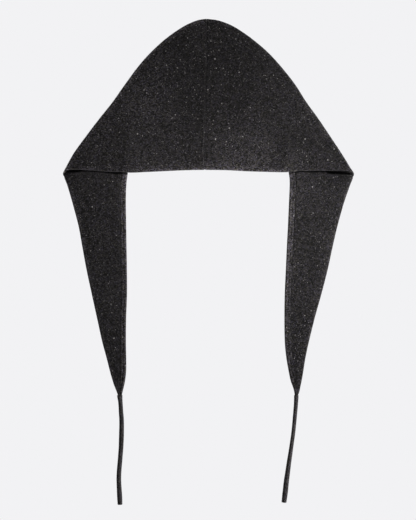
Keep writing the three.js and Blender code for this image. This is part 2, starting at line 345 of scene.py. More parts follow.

# Melange of the yarn: from stitch to stitch, along the strand, over the cloth, and its pale spots; and
# painted shade in the stitch valleys
NOISE_RANGE = (0.3, 0.7)
MELANGE_POWER = 1.5
MELANGE_REACH = 2.1
MELANGE_LOW = 0.15
STRAND_SCALE = 0.9
STRAND_RANGE = (0.32, 0.68)
STRAND_REACH = 0.8
PATCH_SCALE = 0.03
PATCH_TONES = (0.92, 1.08)
# Painted shade in the valleys between the stitch legs and a painted highlight on their tops: stitch heights
# and tones
VALLEY_SHADE_RANGE = (0.0, 0.8)
VALLEY_PAINTED_SHADE = (0.3, 1.15)
SPOT_SCALE = 0.3
SPOT_RANGE = (0.55, 1.0)
SPOT_REACH = (0.1, 0.2)
SPOT_TONE = 0.4


def knit_places(nodes):
    """The place across and along the wales in millimetres, slightly uneven as in real knitting."""
    place = nodes.add("ShaderNodeUVMap", uv_map=KNIT_MAP).outputs[0]
    split = nodes.node("ShaderNodeSeparateXYZ", Vector=place)
    wander = nodes.noise(place, WANDER_SCALE, detail=3.0)
    jitter = nodes.noise(place, JITTER_SCALE, detail=1.0)
    shift = nodes.math("MULTIPLY_ADD", wander, WANDER_REACH, nodes.math("MULTIPLY", jitter, JITTER_REACH))
    across = nodes.math("ADD", split.outputs[0], shift)
    along = nodes.math("ADD", split.outputs[1], nodes.math("MULTIPLY", shift, SHIFT_ALONG))
    return place, across, along


def stitch_height(nodes, wales, courses):
    """Height of plain knit stitches from 0 to 1: two slanting legs in every wale."""
    column = nodes.math("FRACT", wales)
    beside = nodes.math("MULTIPLY", nodes.math("ABSOLUTE", nodes.math("SUBTRACT", column, 0.5)), 2.0)
    leg = nodes.math("SINE", nodes.math("MULTIPLY", beside, math.pi))
    phase = nodes.math("SUBTRACT", courses, nodes.math("MULTIPLY", beside, LEG_SLANT))
    wave = nodes.math("COSINE", nodes.math("MULTIPLY", phase, math.tau))
    return nodes.math("MULTIPLY", leg, nodes.math("MULTIPLY_ADD", wave, LEG_SWELL, 1.0 - LEG_SWELL))


def yarn_shade(nodes, place, stitch, lively):
    """How light the yarn is: different in every stitch, and along the strand."""
    power = nodes.math("POWER", stitch, MELANGE_POWER)
    melange = nodes.math("MULTIPLY_ADD", power, MELANGE_REACH * lively, lerp(1.0, MELANGE_LOW, lively))
    reach = STRAND_REACH * lively
    strand = nodes.noise(place, STRAND_SCALE, roughness=0.7)
    return nodes.math("MULTIPLY", melange, nodes.spread(strand, STRAND_RANGE, (1.0 - reach, 1.0 + reach)))


def pale_spots(nodes, place, tone):
    """Share of pale wool: small spots in some of the cells of the cloth."""
    spots = nodes.node("ShaderNodeTexVoronoi", Vector=place, Scale=SPOT_SCALE, Randomness=1.0)
    cell = nodes.node("ShaderNodeSeparateColor", Color=spots.outputs["Color"]).outputs[0]
    chosen = nodes.spread(cell, SPOT_RANGE, (0.0, tone))
    near = nodes.spread(spots.outputs["Distance"], SPOT_REACH, (1.0, 0.0))
    return nodes.math("MULTIPLY", chosen, near)


def knit_material(name, strength, wale=WALE, course=COURSE, fleck=1.0, lively=1.0):
    """Plain knit; strength is how light it is, fleck how pale its spots are, lively its contrast."""
    nodes = Nodes(name)
    place, across, along = knit_places(nodes)
    wales = nodes.math("DIVIDE", across, wale)
    courses = nodes.math("DIVIDE", along, course)
    height = stitch_height(nodes, wales, courses)
    fuzz = nodes.noise(place, FUZZ_SCALE, detail=3.0, roughness=0.7)
    relief = nodes.math("MULTIPLY_ADD", fuzz, FUZZ_SHARE, height)
    bump = nodes.node("ShaderNodeBump", Height=relief, Strength=1.0, Distance=STITCH_RELIEF)
    stitch = nodes.add("ShaderNodeTexWhiteNoise", noise_dimensions="2D")
    cell = nodes.node("ShaderNodeCombineXYZ", nodes.math("FLOOR", wales), nodes.math("FLOOR", courses))
    nodes.fill(stitch, Vector=cell.outputs[0])
    yarn = yarn_shade(nodes, place, stitch.outputs["Value"], lively)
    patches_and_painted_light = nodes.spread(nodes.noise(place, PATCH_SCALE), NOISE_RANGE, PATCH_TONES)
    # The colour is multiplied by painted light and shade, partly real nap, from the mesh's layer
    patches_and_painted_light = nodes.math("MULTIPLY", patches_and_painted_light, nodes.attribute(NAP_AND_PAINTED_LIGHT))
    # Painted shade in the valleys between the stitch legs, painted highlight on their tops
    valley_shade = nodes.math("MULTIPLY", nodes.spread(height, VALLEY_SHADE_RANGE, VALLEY_PAINTED_SHADE), strength)
    shade = nodes.math("MULTIPLY", nodes.math("MULTIPLY", yarn, patches_and_painted_light), valley_shade)
    tint = nodes.mix(stitch.outputs["Color"], WARM_TINT, COOL_TINT)
    base = nodes.vector_math("SCALE", nodes.vector_math("MULTIPLY", tint, CHARCOAL[:3]), Scale=shade)
    colour = nodes.mix(pale_spots(nodes, place, SPOT_TONE * fleck), base, PALE_WOOL)
    return nodes.surface(colour, bump, KNIT_GLOSS)


# The grain of the loose wool: its tones, the depth of its relief in metres and how strong it looks
GRAIN_SCALE = 2500.0
GRAIN_TONES = (0.75, 1.25)
GRAIN_RELIEF = 0.0001
GRAIN_BUMP = 0.6


def wool_material(name):
    """Loose fibres and flecks of wool that sit in the knit, each with a tone of its own."""
    nodes = Nodes(name)
    place = nodes.add("ShaderNodeTexCoord").outputs["Object"]
    grain = nodes.noise(place, GRAIN_SCALE, roughness=0.7)
    bump = nodes.node("ShaderNodeBump", Height=grain, Strength=GRAIN_BUMP, Distance=GRAIN_RELIEF)
    shade = nodes.math("MULTIPLY", nodes.attribute(TONE), nodes.spread(grain, NOISE_RANGE, GRAIN_TONES))
    return nodes.surface(nodes.mix(shade, CHARCOAL, PALE_WOOL), bump, WOOL_GLOSS)


PLAIN_KNIT = knit_material("plain_knit_yarn", strength=1.0)
RIB_KNIT = knit_material("rib_knit_yarn", strength=1.45, wale=2.1, fleck=0.8)
CORD_KNIT = knit_material("cord_knit_yarn", strength=1.0, wale=1.3, course=1.2, fleck=0.5, lively=0.55)
LOOSE_WOOL = wool_material("loose_wool")


def make_object(name, vertices, faces, places=None):
    """A mesh object from vertices in metres, quads or triangles, and places in the knit."""
    mesh = bpy.data.meshes.new(name)
    mesh.from_pydata(vertices.tolist(), [], faces)
    mesh.polygons.foreach_set("use_smooth", [True] * len(mesh.polygons))
    if places is not None:
        corners = np.empty(len(mesh.loops), int)
        mesh.loops.foreach_get("vertex_index", corners)
        knit_map = mesh.uv_layers.new(name=KNIT_MAP)
        knit_map.data.foreach_set("uv", places[corners].astype(np.float32).ravel())
    mesh.update()
    made = bpy.data.objects.new(name, mesh)
    bpy.context.scene.collection.objects.link(made)
    return made


def set_values(piece, name, values):
    """A number for every vertex, for the materials to read."""
    layer = piece.data.attributes.new(name, "FLOAT", "POINT")
    layer.data.foreach_set("value", values.astype(np.float32))


def finish_piece(piece, material, nodes):
    piece.data.materials.append(material)
    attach(piece, "root")
    if nodes:
        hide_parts(*nodes)


# The ties: knitted round cords, in millimetres
TIE_WALES = 8
TIE_WALE_CELLS = 6
TIE_SIDES = TIE_WALE_CELLS * TIE_WALES
TIE_STITCH = 2.6
TIE_STITCH_STEPS = 6
TIE_LEG_SLANT = 0.55
TIE_LEG_SWELL = 0.32
TIE_RELIEF = 0.3
TIE_SWELL = 0.15
TIE_END_TAPER = 1.0
TIE_END_SHARE = 0.96
TIE_STARTS_INSIDE = 2.0
TIE_PATH_STEP = 5.0
FINE_POINTS = 4000

# How thick each tie is, and how light its yarn looks, at shares of its length
TIE_THICKNESS = {
    "left": [(0.0, 1.3), (0.06, 1.07), (0.22, 1.12), (0.38, 1.18), (0.52, 1.12), (0.8, 1.14), (0.93, 1.23),
             (1.0, 1.16)],
    "right": [(0.0, 1.08), (0.1, 1.0), (0.45, 0.97), (0.57, 1.05), (0.68, 1.14), (0.8, 1.25), (0.92, 1.28),
              (1.0, 1.18)],
}
TIE_NAP = {
    "left": [(0.0, 2.4), (0.1, 2.2), (0.28, 1.8), (0.42, 1.6), (0.55, 2.1), (0.85, 2.1), (1.0, 1.8)],
    "right": [(0.0, 2.4), (0.35, 2.9), (0.5, 2.6), (0.75, 2.4), (0.9, 2.0), (1.0, 1.9)],
}


def even_line(points, step):
    """Points at even steps along a smooth curve through the given ones, and how far along they lie."""
    keys = run_along(points)
    fine = spline(keys, points, np.linspace(0.0, keys[-1], FINE_POINTS))
    run = run_along(fine)
    count = max(2, int(round(run[-1] / step)) + 1)
    places = np.linspace(0.0, run[-1], count)
    return points_at(places, run, fine), places


def tie_radius(side, run, angle, length):
    """Radius of the cord in millimetres: a round tube of V-shaped stitches with rounded ends."""
    wale = angle / math.tau * TIE_WALES
    beside = np.abs(wale - np.floor(wale) - 0.5) * 2.0
    wave = np.cos((run / TIE_STITCH - TIE_LEG_SLANT * beside) * math.tau)
    relief = np.sin(beside * math.pi) * (1.0 - TIE_LEG_SWELL + TIE_LEG_SWELL * wave)
    shares, thickness = np.array(TIE_THICKNESS[side]).T
    swell = spline(shares, thickness, (run / length).ravel())[:, None]
    radius = (TIE_DIAMETER / 2 + TIE_SWELL) * swell - TIE_RELIEF * (1.0 - relief)
    to_end = np.clip(1.0 - (length - run) / TIE_END_TAPER, 0.0, 1.0)
    return radius * np.sqrt(1.0 - (to_end * TIE_END_SHARE) ** 3)


def tube_faces(rings, sides):
    """Quads between the rings of a tube, and triangles to the two end points that follow them."""
    faces = []
    last = (rings - 1) * sides
    for low in range(0, last, sides):
        for corner in range(sides):
            after = (corner + 1) % sides
            faces.append((low + corner, low + after, low + sides + after, low + sides + corner))
    for corner in range(sides):
        after = (corner + 1) % sides
        faces.append((after, corner, rings * sides))
        faces.append((last + corner, last + after, rings * sides + 1))
    return faces


def tie_points(side, line, run):
    """Points round the middle line of a tie, and their places in its knit."""
    across = np.cross(unit(np.gradient(line, axis=0)), UP)
    angles = np.linspace(0.0, math.tau, TIE_SIDES, endpoint=False)
    radius = tie_radius(side, run, angles, run[-1]) * MM
    ring = np.cos(angles)[:, None] * across[:, None] + np.sin(angles)[:, None] * UP
    points = line[:, None] + ring * radius[..., None]
    points[:, :, 2] = np.maximum(points[:, :, 2], 0.0)
    places = pairs(*np.broadcast_arrays(angles * TIE_DIAMETER / 2, run))
    return points.reshape(-1, 3), places.reshape(-1, 2)


def make_tie(side):
    route = np.array([(x, y, TIE_DIAMETER / 2 * MM) for x, y in TIE_ROUTES[side]])
    route = np.vstack([route[0] + (0.0, TIE_STARTS_INSIDE * MM, 0.0), route])
    line, run = even_line(route, TIE_STITCH / TIE_STITCH_STEPS * MM)
    points, places = tie_points(side, line, run[:, None] / MM)
    vertices = np.vstack([points, line[:1], line[-1:]])
    places = np.vstack([places, places[:1], places[-1:]])
    tie = make_object(f"{side}_knitted_tie", vertices, tube_faces(len(line), TIE_SIDES), places)
    shares, naps = np.array(TIE_NAP[side]).T
    nap_and_painted_light = np.repeat(np.interp(run / run[-1], shares, naps), TIE_SIDES)
    set_values(tie, NAP_AND_PAINTED_LIGHT, np.concatenate([nap_and_painted_light, nap_and_painted_light[:1], nap_and_painted_light[-1:]]))
    finish_piece(tie, CORD_KNIT, [f"{side}_tie"])
    path = [tuple(point) for point in even_line(route, TIE_PATH_STEP * MM)[0]]


for side_name in SIDES:
    make_tie(side_name)


# The edge of the face opening, from the seam along its top, round its corner and down the tail
TOP_EDGE_STEP = 0.5
CORNER_POINTS = 80
STEEP_POINTS = 120
TAIL_POINTS = 700


def opening_edge(side):
    """Stations along the free edge: x, y, direction into the cloth, band width and gather."""
    direction = SIDES[side]
    edge_x = OPENING_LEFT if side == "left" else OPENING_RIGHT
    arc_x = edge_x - direction * OPENING_CORNER
    arc_y = OPENING_TOP - OPENING_CORNER
    top = np.linspace(SEAM_X, arc_x, int(abs(arc_x - SEAM_X) / TOP_EDGE_STEP))
    turn = np.linspace(math.pi / 2, 0.0, CORNER_POINTS)[1:]
    steep = np.linspace(arc_y, OPENING_LEAVES_HOOD, STEEP_POINTS)[1:]
    steep_x = lerp(edge_x, tail_column(f"{side}_in")[0], (arc_y - steep) / (arc_y - OPENING_LEAVES_HOOD))
    down_keys = np.concatenate([[OPENING_LEAVES_HOOD], tail_column("y")])
    down = np.linspace(OPENING_LEAVES_HOOD, down_keys[-1], TAIL_POINTS)[1:]

    def down_tail(column):
        values = tail_column(column)
        return spline(-down_keys, np.concatenate([values[:1], values]), -down)

    parts = [
        (top, OPENING_TOP, 0.0, 1.0),
        (arc_x + direction * OPENING_CORNER * np.cos(turn), arc_y + OPENING_CORNER * np.sin(turn),
         direction * np.cos(turn), np.sin(turn)),
        (steep_x, steep, direction, 0.0),
        (down_tail(f"{side}_in"), down, direction, 0.0),
    ]
    columns = zip(*(np.broadcast_arrays(*part) for part in parts))
    stations = dict(zip(("x", "y", "in_x", "in_y"), (np.concatenate(column) for column in columns)))
    above = len(top) + len(turn) + len(steep)
    stations["width"] = np.concatenate([np.full(above, BAND_WIDTH), down_tail("band")])
    stations["gather"] = np.concatenate([np.zeros(above), down_tail("gather")])
    run = run_along(pairs(stations["x"], stations["y"]))
    arc_start = len(top) - 1
    arc_end = arc_start + len(turn)
    marks = {
        "arc_middle": (run[arc_start] + run[arc_end]) / 2,
        "arc_end": run[arc_end],
        "leaves_hood": run[above - 1],
        "tip": run[-1],
    }
    return stations, run, marks


EDGES = {side: opening_edge(side) for side in SIDES}


def edge_at(side, distance):
    stations, run, _ = EDGES[side]
    return {name: np.interp(distance, run, values) for name, values in stations.items()}


def beside_edge(side, distance, inset):
    """Plan points at a distance along the free edge, inset millimetres into the cloth."""
    at = edge_at(side, distance)
    return pairs(at["x"] + at["in_x"] * inset, at["y"] + at["in_y"] * inset)


# The upper layer sags into the face opening under it, and shows the opening's edge as a crest.
# Reach and crest have a value for the sides and one for the top. Shapes are a width and a power
SAG = 1.5
SAG_REACH = (-22.0, -40.0)
CREST = (1.0, 0.35)
CREST_ASIDE = 2.0
CREST_SHAPE = (7.5, 1.3)
TOP_EDGE_RANGE = (95.0, 122.0)

# It droops and ripples over the middle of the opening, and stands up along the centre seam
DROOP = 3.2
DROOP_ACROSS = 100.0
DROOP_DOWN = 68.0
RIPPLE = 0.9
RIPPLE_SIZE = 24.0
RIPPLE_SEED = 7
RIPPLE_STRETCH = 0.3
RIDGE = 1.6
RIDGE_SHAPE = (26.0, 1.5)
RIDGE_RANGE = (265.0, 200.0)

# Swells all over it: height, size, shift across and along, seed
SWELLS = ((0.55, 46.0, 0.0, 0.0, 3), (0.26, 17.0, 31.0, 17.0, 4), (0.1, 5.5, 0.0, 0.0, 5))

# The rolled hem and the groove above it: height, middle above the hem, half width
HEM_ROLL = (0.6, 2.0, 1.9)
HEM_GROOVE = (-0.4, 6.2, 1.8)


def opening_distance(x, y):
    """Distance from the hidden edge of the face opening, below zero over the opening."""
    middle = (OPENING_LEFT + OPENING_RIGHT) / 2
    half = (OPENING_RIGHT - OPENING_LEFT) / 2
    past_x = np.abs(x - middle) - half + OPENING_CORNER
    past_y = y - OPENING_TOP + OPENING_CORNER
    outside = np.hypot(np.maximum(past_x, 0.0), np.maximum(past_y, 0.0))
    return outside + np.minimum(np.maximum(past_x, past_y), 0.0) - OPENING_CORNER


def hem_y(x):
    x = np.asarray(x)
    keys, values = HEM_LINE.T
    return spline(keys, values, np.clip(x.ravel(), keys[0], keys[-1])).reshape(x.shape)


def upper_relief(x, y):
    """What the upper layer shows of the edges hidden under it, its seam, its hem and its swells."""
    beyond = opening_distance(x, y)
    on_top = smoothstep(*TOP_EDGE_RANGE, y)
    relief = -SAG * (1.0 - smoothstep(lerp(*SAG_REACH, on_top), CREST_ASIDE, beyond))
    relief += lerp(*CREST, on_top) * hump(beyond - CREST_ASIDE, *CREST_SHAPE)
    to_side = (OPENING_RIGHT - OPENING_LEFT) / 2 - np.abs(x - (OPENING_RIGHT + OPENING_LEFT) / 2)
    free = smoothstep(0.0, DROOP_ACROSS, to_side) * smoothstep(0.0, DROOP_DOWN, OPENING_TOP - y)
    relief += free * (RIPPLE * soft_noise(x, RIPPLE_STRETCH * y, RIPPLE_SIZE, RIPPLE_SEED) - DROOP)
    relief += RIDGE * hump(x - SEAM_X, *RIDGE_SHAPE) * smoothstep(*RIDGE_RANGE, y)
    for height, size, shift_x, shift_y, seed in SWELLS:
        relief += height * soft_noise(x + shift_x, y + shift_y, size, seed)
    for height, middle, width in (HEM_ROLL, HEM_GROOVE):
        relief += height * hump(y - hem_y(x) - middle, width)
    return relief


# The under layer stands up where it comes out from under the hem, most of all at the corners,
# and less at its outer rim and at the opening's edge, where it also starts to rise sooner
BULGE = (3.5, 6.8)
CORNER_RANGE = (70.0, 25.0)
BULGE_FADE = (30.0, 1.4)
RIM_SHARE = 0.75
RIM_REACH = 10.0
EDGE_CALM = 16.0
CALM_SHARE = 0.6
RISE_START = (-2.4, -0.6)
RISE_END = 0.8
# Painted shade in the crease where the fold stands open: the share of light left, and where it fades
CREASE_PAINTED_SHADE = 0.35
CREASE_RANGE = (-0.2, 1.0)

# Further down the tails have a slight loft, which ends at the tips, and waves: height, size, seed
LOFT = 0.9
LOFT_OUTER_REACH = 13.0
LOFT_INNER_REACH = 9.0
LOFT_AT_BAND = 0.35
LOFT_START = 14.0
WAVES = ((0.25, 34.0, 11), (0.07, 5.5, 12))
WAVES_LIFT = 0.25
TIP_RANGE = (-283.0, -262.0)


def beyond_gap(x, y):
    """How far a point of a tail lies from the hood's edge and the open fold under it."""
    return hem_y(x) - np.interp(x, FOLD_GAP[:, 0], FOLD_GAP[:, 1]) - y


def painted_crease_shade(x, y):
    """Painted shade where the fold stands open under the hem: the share of light left there, against 1
    outside it.
    """
    return lerp(CREASE_PAINTED_SHADE, 1.0, smoothstep(*CREASE_RANGE, beyond_gap(x, y)))


def under_relief(side, x, y, inner_x, outer_x):
    """How the tail's top stands up under the hood's edge, and its slight loft further down."""
    past_gap = beyond_gap(x, y)
    from_outer = np.abs(outer_x - x)
    from_inner = np.abs(x - inner_x)
    free_x = np.interp(-y, -tail_column("y"), tail_column(f"{side}_in"))
    inside = smoothstep(0.0, EDGE_CALM, np.abs(x - free_x))
    rise = smoothstep(lerp(*RISE_START, inside), RISE_END, past_gap)
    fade = hump(np.maximum(past_gap, 0.0), *BULGE_FADE)
    high = lerp(*BULGE, smoothstep(*CORNER_RANGE, from_outer))
    high = high * lerp(RIM_SHARE, 1.0, smoothstep(0.0, RIM_REACH, from_outer)) * lerp(CALM_SHARE, 1.0, inside)
    loft = LOFT * smoothstep(0.0, LOFT_OUTER_REACH, from_outer)
    loft = loft * lerp(LOFT_AT_BAND, 1.0, smoothstep(0.0, LOFT_INNER_REACH, from_inner))
    waves = WAVES_LIFT + sum(height * soft_noise(x, y, size, seed) for height, size, seed in WAVES)
    free = smoothstep(0.0, LOFT_START, past_gap) * smoothstep(*TIP_RANGE, y)
    return high * rise * fade + (loft + waves) * free


# Angles round the side fold, from the upper layer to the under layer
FOLD_ANGLES = math.pi * (0.5 - np.arange(FOLD_CELLS + 1) / FOLD_CELLS)

# Points for measuring the outline, and then in rows of the hood table: a step for its slopes,
# where the fold at the point has turned from facing up to facing out, where the hem line starts
# to pull, and where the rows start to bend towards the face opening
DENSE_POINTS = 2401
ROW_NUDGE = 0.01
POINT_TURNS = 0.7
HEM_PULLS_FROM = 10.3
OPENING_BENDS_FROM = 6.5

# The share of the way to the fold where the upper layer's relief starts to settle, and the share of
# the way to the seam that the under layer's outer columns take
SETTLE_FROM = 0.93
OUTER_SHARE = 1 / 3


def outline_places():
    """Places on the hood table at even steps down the outline, finer near the lower edge."""
    dense = np.linspace(0.0, LAST_ROW, DENSE_POINTS)
    run = run_along(hood_outline("right", dense))
    end = run[-1] - FREE_RIM
    plain = np.arange(0.0, end - HEM_REACH, ROW_STEP)
    fine = np.linspace(end - HEM_REACH, end, int(HEM_REACH / HEM_STEP) + 1)
    places = np.interp(np.concatenate([plain, fine]), run, dense)
    places[opening_row(places)] = OPENING_ROW
    return places


def opening_row(places):
    """The row of the grid that runs along the top of the face opening."""
    return int(np.argmin(np.abs(places - OPENING_ROW)))


def opening_blend(places):
    """How much each row follows the edge of the opening."""
    return smoothstep(OPENING_BENDS_FROM, OPENING_ROW, places)[:, None]


def seam_line(side, places, aside):
    """Where the rows of one half meet the centre seam, aside millimetres from its middle."""
    return pairs(np.full(len(places), SEAM_X + SIDES[side] * aside), hood_value("seam", places))


def outline_directions(side, places):
    """The directions down the hood's outline and out of the cloth, in plan."""
    after = hood_outline(side, np.clip(places + ROW_NUDGE, 0, LAST_ROW))
    before = hood_outline(side, np.clip(places - ROW_NUDGE, 0, LAST_ROW))
    along = unit(after - before)
    outward = pairs(-along[:, 1], along[:, 0]) * SIDES[side]
    turned = smoothstep(0.0, POINT_TURNS, places)[:, None]
    return along, unit(lerp(np.array([0.0, 1.0]), outward, turned))


def hood_fold(side, places):
    """Middle surface of the side fold, row by row, from the upper layer round to the under layer."""
    along, outward = outline_directions(side, places)
    height = hood_value("fold", places)[:, None]
    radius = (height - WALL) / 2
    push = radius * np.cos(FOLD_ANGLES) - height / 2
    slide = -hood_value("slant", places)[:, None] * FOLD_ANGLES / math.pi
    fold = np.empty((len(places), FOLD_CELLS + 1, 3))
    fold[..., :2] = (hood_outline(side, places)[:, None] + outward[:, None] * push[..., None]
                     + along[:, None] * slide[..., None])
    fold[..., 2] = height / 2 + radius * np.sin(FOLD_ANGLES)
    return fold


def hood_upper(side, places, fold):
    """Middle surface of the upper layer without relief, and each point's share of the way to the fold."""
    seam = seam_line(side, places, SEAM_HALF)
    length = np.linalg.norm(fold[:, 0, :2] - seam, axis=1, keepdims=True)
    near = np.broadcast_to(NEAR_SEAM, (len(places), len(NEAR_SEAM)))
    far = np.linspace(0.0, 1.0, UPPER_CELLS + 1)[1:-1]
    share = np.concatenate([near, NEAR_SEAM[-1] + (length - NEAR_SEAM[-1]) * far], axis=1) / length
    upper = np.empty(share.shape + (3,))
    upper[..., :2] = between(seam, fold[:, 0, :2], share)
    crown = hood_value("crown", places)[:, None]
    upper[..., 2] = lerp(crown, hood_value("fold", places)[:, None], share ** 3) - WALL / 2
    return upper, share


def hood_grid(side, places):
    """Middle surface of one half of the hood: its upper layer, and its fold."""
    fold = hood_fold(side, places)
    upper, share = hood_upper(side, places, fold)
    to_hem = hem_y(upper[-1, :, 0]) + FREE_RIM - upper[-1, :, 1]
    shift = to_hem[None, :] * smoothstep(HEM_PULLS_FROM, LAST_ROW, places)[:, None]
    upper[..., 1] += shift
    fold[..., 1] += shift[:, -1:] * np.clip(FOLD_ANGLES, 0, None) / FOLD_ANGLES[0]
    upper[..., 2] += upper_relief(upper[..., 0], upper[..., 1]) * smoothstep(1.0, SETTLE_FROM, share)
    return upper, fold


def division_line(side, places, start, seam):
    """Where the under layer's outer columns end: on the way to the seam, then beside the band."""
    marks = EDGES[side][2]
    straight = lerp(start, seam, OUTER_SHARE)
    reached = beside_edge(side, marks["arc_middle"], SEWN_INSET)
    above = lerp(straight, reached + straight - straight[opening_row(places)], opening_blend(places))
    round_arc = lerp(marks["arc_middle"], marks["arc_end"], np.clip(places - OPENING_ROW, 0, 1))
    straight_down = (marks["leaves_hood"] - marks["arc_end"]) * np.clip(places - OPENING_ROW - 1, 0, 2) / 2
    below = beside_edge(side, round_arc + straight_down, SEWN_INSET)
    return np.where((places <= OPENING_ROW)[:, None], above, below)


def under_grid(side, places, fold):
    """Middle surface of the under layer: its outer columns, and the ones above the opening."""
    start = fold[:, -1, :2]
    seam = seam_line(side, places, SEWN_RIM)
    division = division_line(side, places, start, seam)
    share = np.arange(OUTER_CELLS + 1) / OUTER_CELLS
    outer = np.full((len(places), OUTER_CELLS + 1, 3), WALL / 2)
    outer[..., :2] = between(start, division, share)

    last = opening_row(places)
    share = np.arange(1, INNER_CELLS + 1) / INNER_CELLS
    plain = between(division, seam, share)
    plain_row = plain[last] - plain[last, -1] + seam[last]
    path = beside_edge(side, EDGES[side][2]["arc_middle"] * (1 - share), SEWN_INSET)
    path[-1, 0] = seam[0, 0]
    shaped = plain + opening_blend(places)[..., None] * (path - plain_row)
    inner = np.full((len(places), INNER_CELLS, 3), np.nan)
    inner[:last, :, :2] = shaped[:last]
    inner[last, :, :2] = path
    inner[:last + 1, :, 2] = WALL / 2
    return outer, inner


def tail_grid(side, last_row):
    """Middle surface of a tail from the hood's lower edge to its tip, and how gathered its rows are."""
    direction = SIDES[side]
    share = np.arange(OUTER_CELLS + 1) / OUTER_CELLS
    out_x = tail_column(f"{side}_out") - direction * FREE_RIM
    in_x = tail_column(f"{side}_in") + direction * (tail_column("band") + SEWN_RIM)
    rows = np.empty((len(TAIL_ROWS), len(share), 2))
    rows[..., 0] = lerp(out_x[:, None], in_x[:, None], share)
    rows[..., 1] = tail_column("y")[:, None]
    keys = np.concatenate([last_row[None, :, :2], rows])
    keys[-1, :, 1] += FREE_RIM
    run = run_along(keys[:, OUTER_CELLS // 2])
    near = np.arange(HEM_STEP, TAIL_FINE_REACH, HEM_STEP)
    far = np.linspace(TAIL_FINE_REACH, run[-1], int((run[-1] - TAIL_FINE_REACH) / ROW_STEP))
    places = np.concatenate([near, far])
    gather = np.interp(places, run, np.concatenate([[0.0], tail_column("gather")]))
    grid = np.empty((len(places), len(share), 3))
    grid[..., :2] = spline(run, keys, places)
    grid[..., 2] = (WALL + gather[:, None]) / 2
    return grid, gather


# Columns of a panel's grid: upper layer, side fold, under layer, and under layer above the opening
FOLD_START = len(NEAR_SEAM) + UPPER_CELLS - 1
UNDER_START = FOLD_START + FOLD_CELLS
INNER_START = UNDER_START + OUTER_CELLS + 1
UPPER_COLUMNS = slice(0, FOLD_START)
FOLD_COLUMNS = slice(FOLD_START, UNDER_START + 1)
OUTER_COLUMNS = slice(UNDER_START, INNER_START)
PAST_FOLD_COLUMNS = slice(UNDER_START + 1, INNER_START)
INNER_COLUMNS = slice(INNER_START, INNER_START + INNER_CELLS)

# The knit map: where each half's starts, where along the fold and how far past it it follows the
# fold's turn, and where the wales turn upright on the under layer
KNIT_START = {"left": 0.0, "right": 613.0}
FOLD_TURN_RANGE = (60.0, 90.0)
FOLD_FADE = 30.0
UPRIGHT_RANGE = (140.0, 70.0)
UPRIGHT_REACH = 60.0


def knit_across(side, upper, fold, outer, inner, tail):
    """Places across the wales of the five parts of a panel."""
    direction = SIDES[side]
    across_upper = (upper[..., 0] - SEAM_X) * direction + KNIT_START[side]
    step, heading = fold_steps(upper, fold)
    across_fold = across_upper[:, -1:] + np.cumsum(step, axis=1) * np.abs(heading[:, :1])
    start = across_fold[:, -1:]
    fold_x = outer[:, :1, 0]
    drift = start + fold_x * direction
    past_fold = (fold_x - outer[..., 0]) * direction
    upright = smoothstep(*UPRIGHT_RANGE, outer[..., 1]) * smoothstep(0.0, UPRIGHT_REACH, np.abs(past_fold))
    across_outer = start + past_fold - (drift - drift[-1]) * upright
    across_inner = start + (fold_x - inner[..., 0]) * direction
    across_tail = across_outer[-1, -1] + (outer[-1, -1, 0] - tail[..., 0]) * direction
    return across_upper, across_fold, across_outer, across_inner, across_tail


def fold_steps(upper, fold):
    """Lengths of the steps round the fold, and the direction in plan in which it turns."""
    step = np.linalg.norm(np.diff(np.concatenate([upper[:, -1:], fold], axis=1), axis=1), axis=2)
    return step, unit(fold[:, FOLD_CELLS // 2, :2] - upper[:, -1, :2])


def fold_turn(upper, fold, outer):
    """What the fold adds to the places along the wales, on itself and on the under layer."""
    step, heading = fold_steps(upper, fold)
    turned = upper[:, -1:, 1] + np.cumsum(step, axis=1) * heading[:, 1:] - fold[..., 1]
    on_fold = turned * smoothstep(*FOLD_TURN_RANGE, fold[..., 1])
    from_fold = np.abs(outer[..., 0] - outer[:, :1, 0])
    return on_fold, on_fold[:, -1:] * smoothstep(FOLD_FADE, 0.0, from_fold)


def climbing(points, axis):
    """How much longer the way over the points is than it looks in plan."""
    step = np.nan_to_num(np.diff(points, axis=axis))
    return np.cumsum(np.linalg.norm(step, axis=2) - np.linalg.norm(step[..., :2], axis=2), axis=axis)


CELL_CORNERS = ((0, 0), (0, 1), (1, 1), (1, 0))


def at_corners(values, rows, columns):
    return [values[rows + r, columns + c] for r, c in CELL_CORNERS]


def grid_normals(grid, rows, columns, direction):
    """The way out of the cloth at every point of a grid, and which points have a cell."""
    points = at_corners(grid, rows, columns)
    facing = -direction * np.cross(points[2] - points[0], points[3] - points[1])
    normals = np.zeros_like(grid)
    used = np.zeros(grid.shape[:2], bool)
    for r, c in CELL_CORNERS:
        np.add.at(normals, (rows + r, columns + c), facing)
        used[rows + r, columns + c] = True
    length = np.linalg.norm(normals, axis=2, keepdims=True)
    return normals / np.where(length > 0, length, 1.0), used


def free_edges(quads, count):
    """The edges that only one quad has, as pairs of point numbers."""
    edges = np.concatenate([quads[:, [k, (k + 1) % 4]] for k in range(4)]).astype(np.int64)
    keys = edges[:, 0] * count + edges[:, 1]
    turned_keys = edges[:, 1] * count + edges[:, 0]
    return edges[~np.isin(keys, turned_keys)]


def edge_directions(middle, normal, free):
    """The way out past the edge at each of its points, square to the cloth's own normal."""
    outward = np.zeros_like(middle)
    sides = unit(middle[free[:, 1]] - middle[free[:, 0]])
    for end in (0, 1):
        np.add.at(outward, free[:, end], np.cross(sides, normal[free[:, end]]))
    rim = np.unique(free)
    outward = outward[rim]
    outward -= normal[rim] * np.sum(outward * normal[rim], axis=1, keepdims=True)
    return rim, unit(outward)


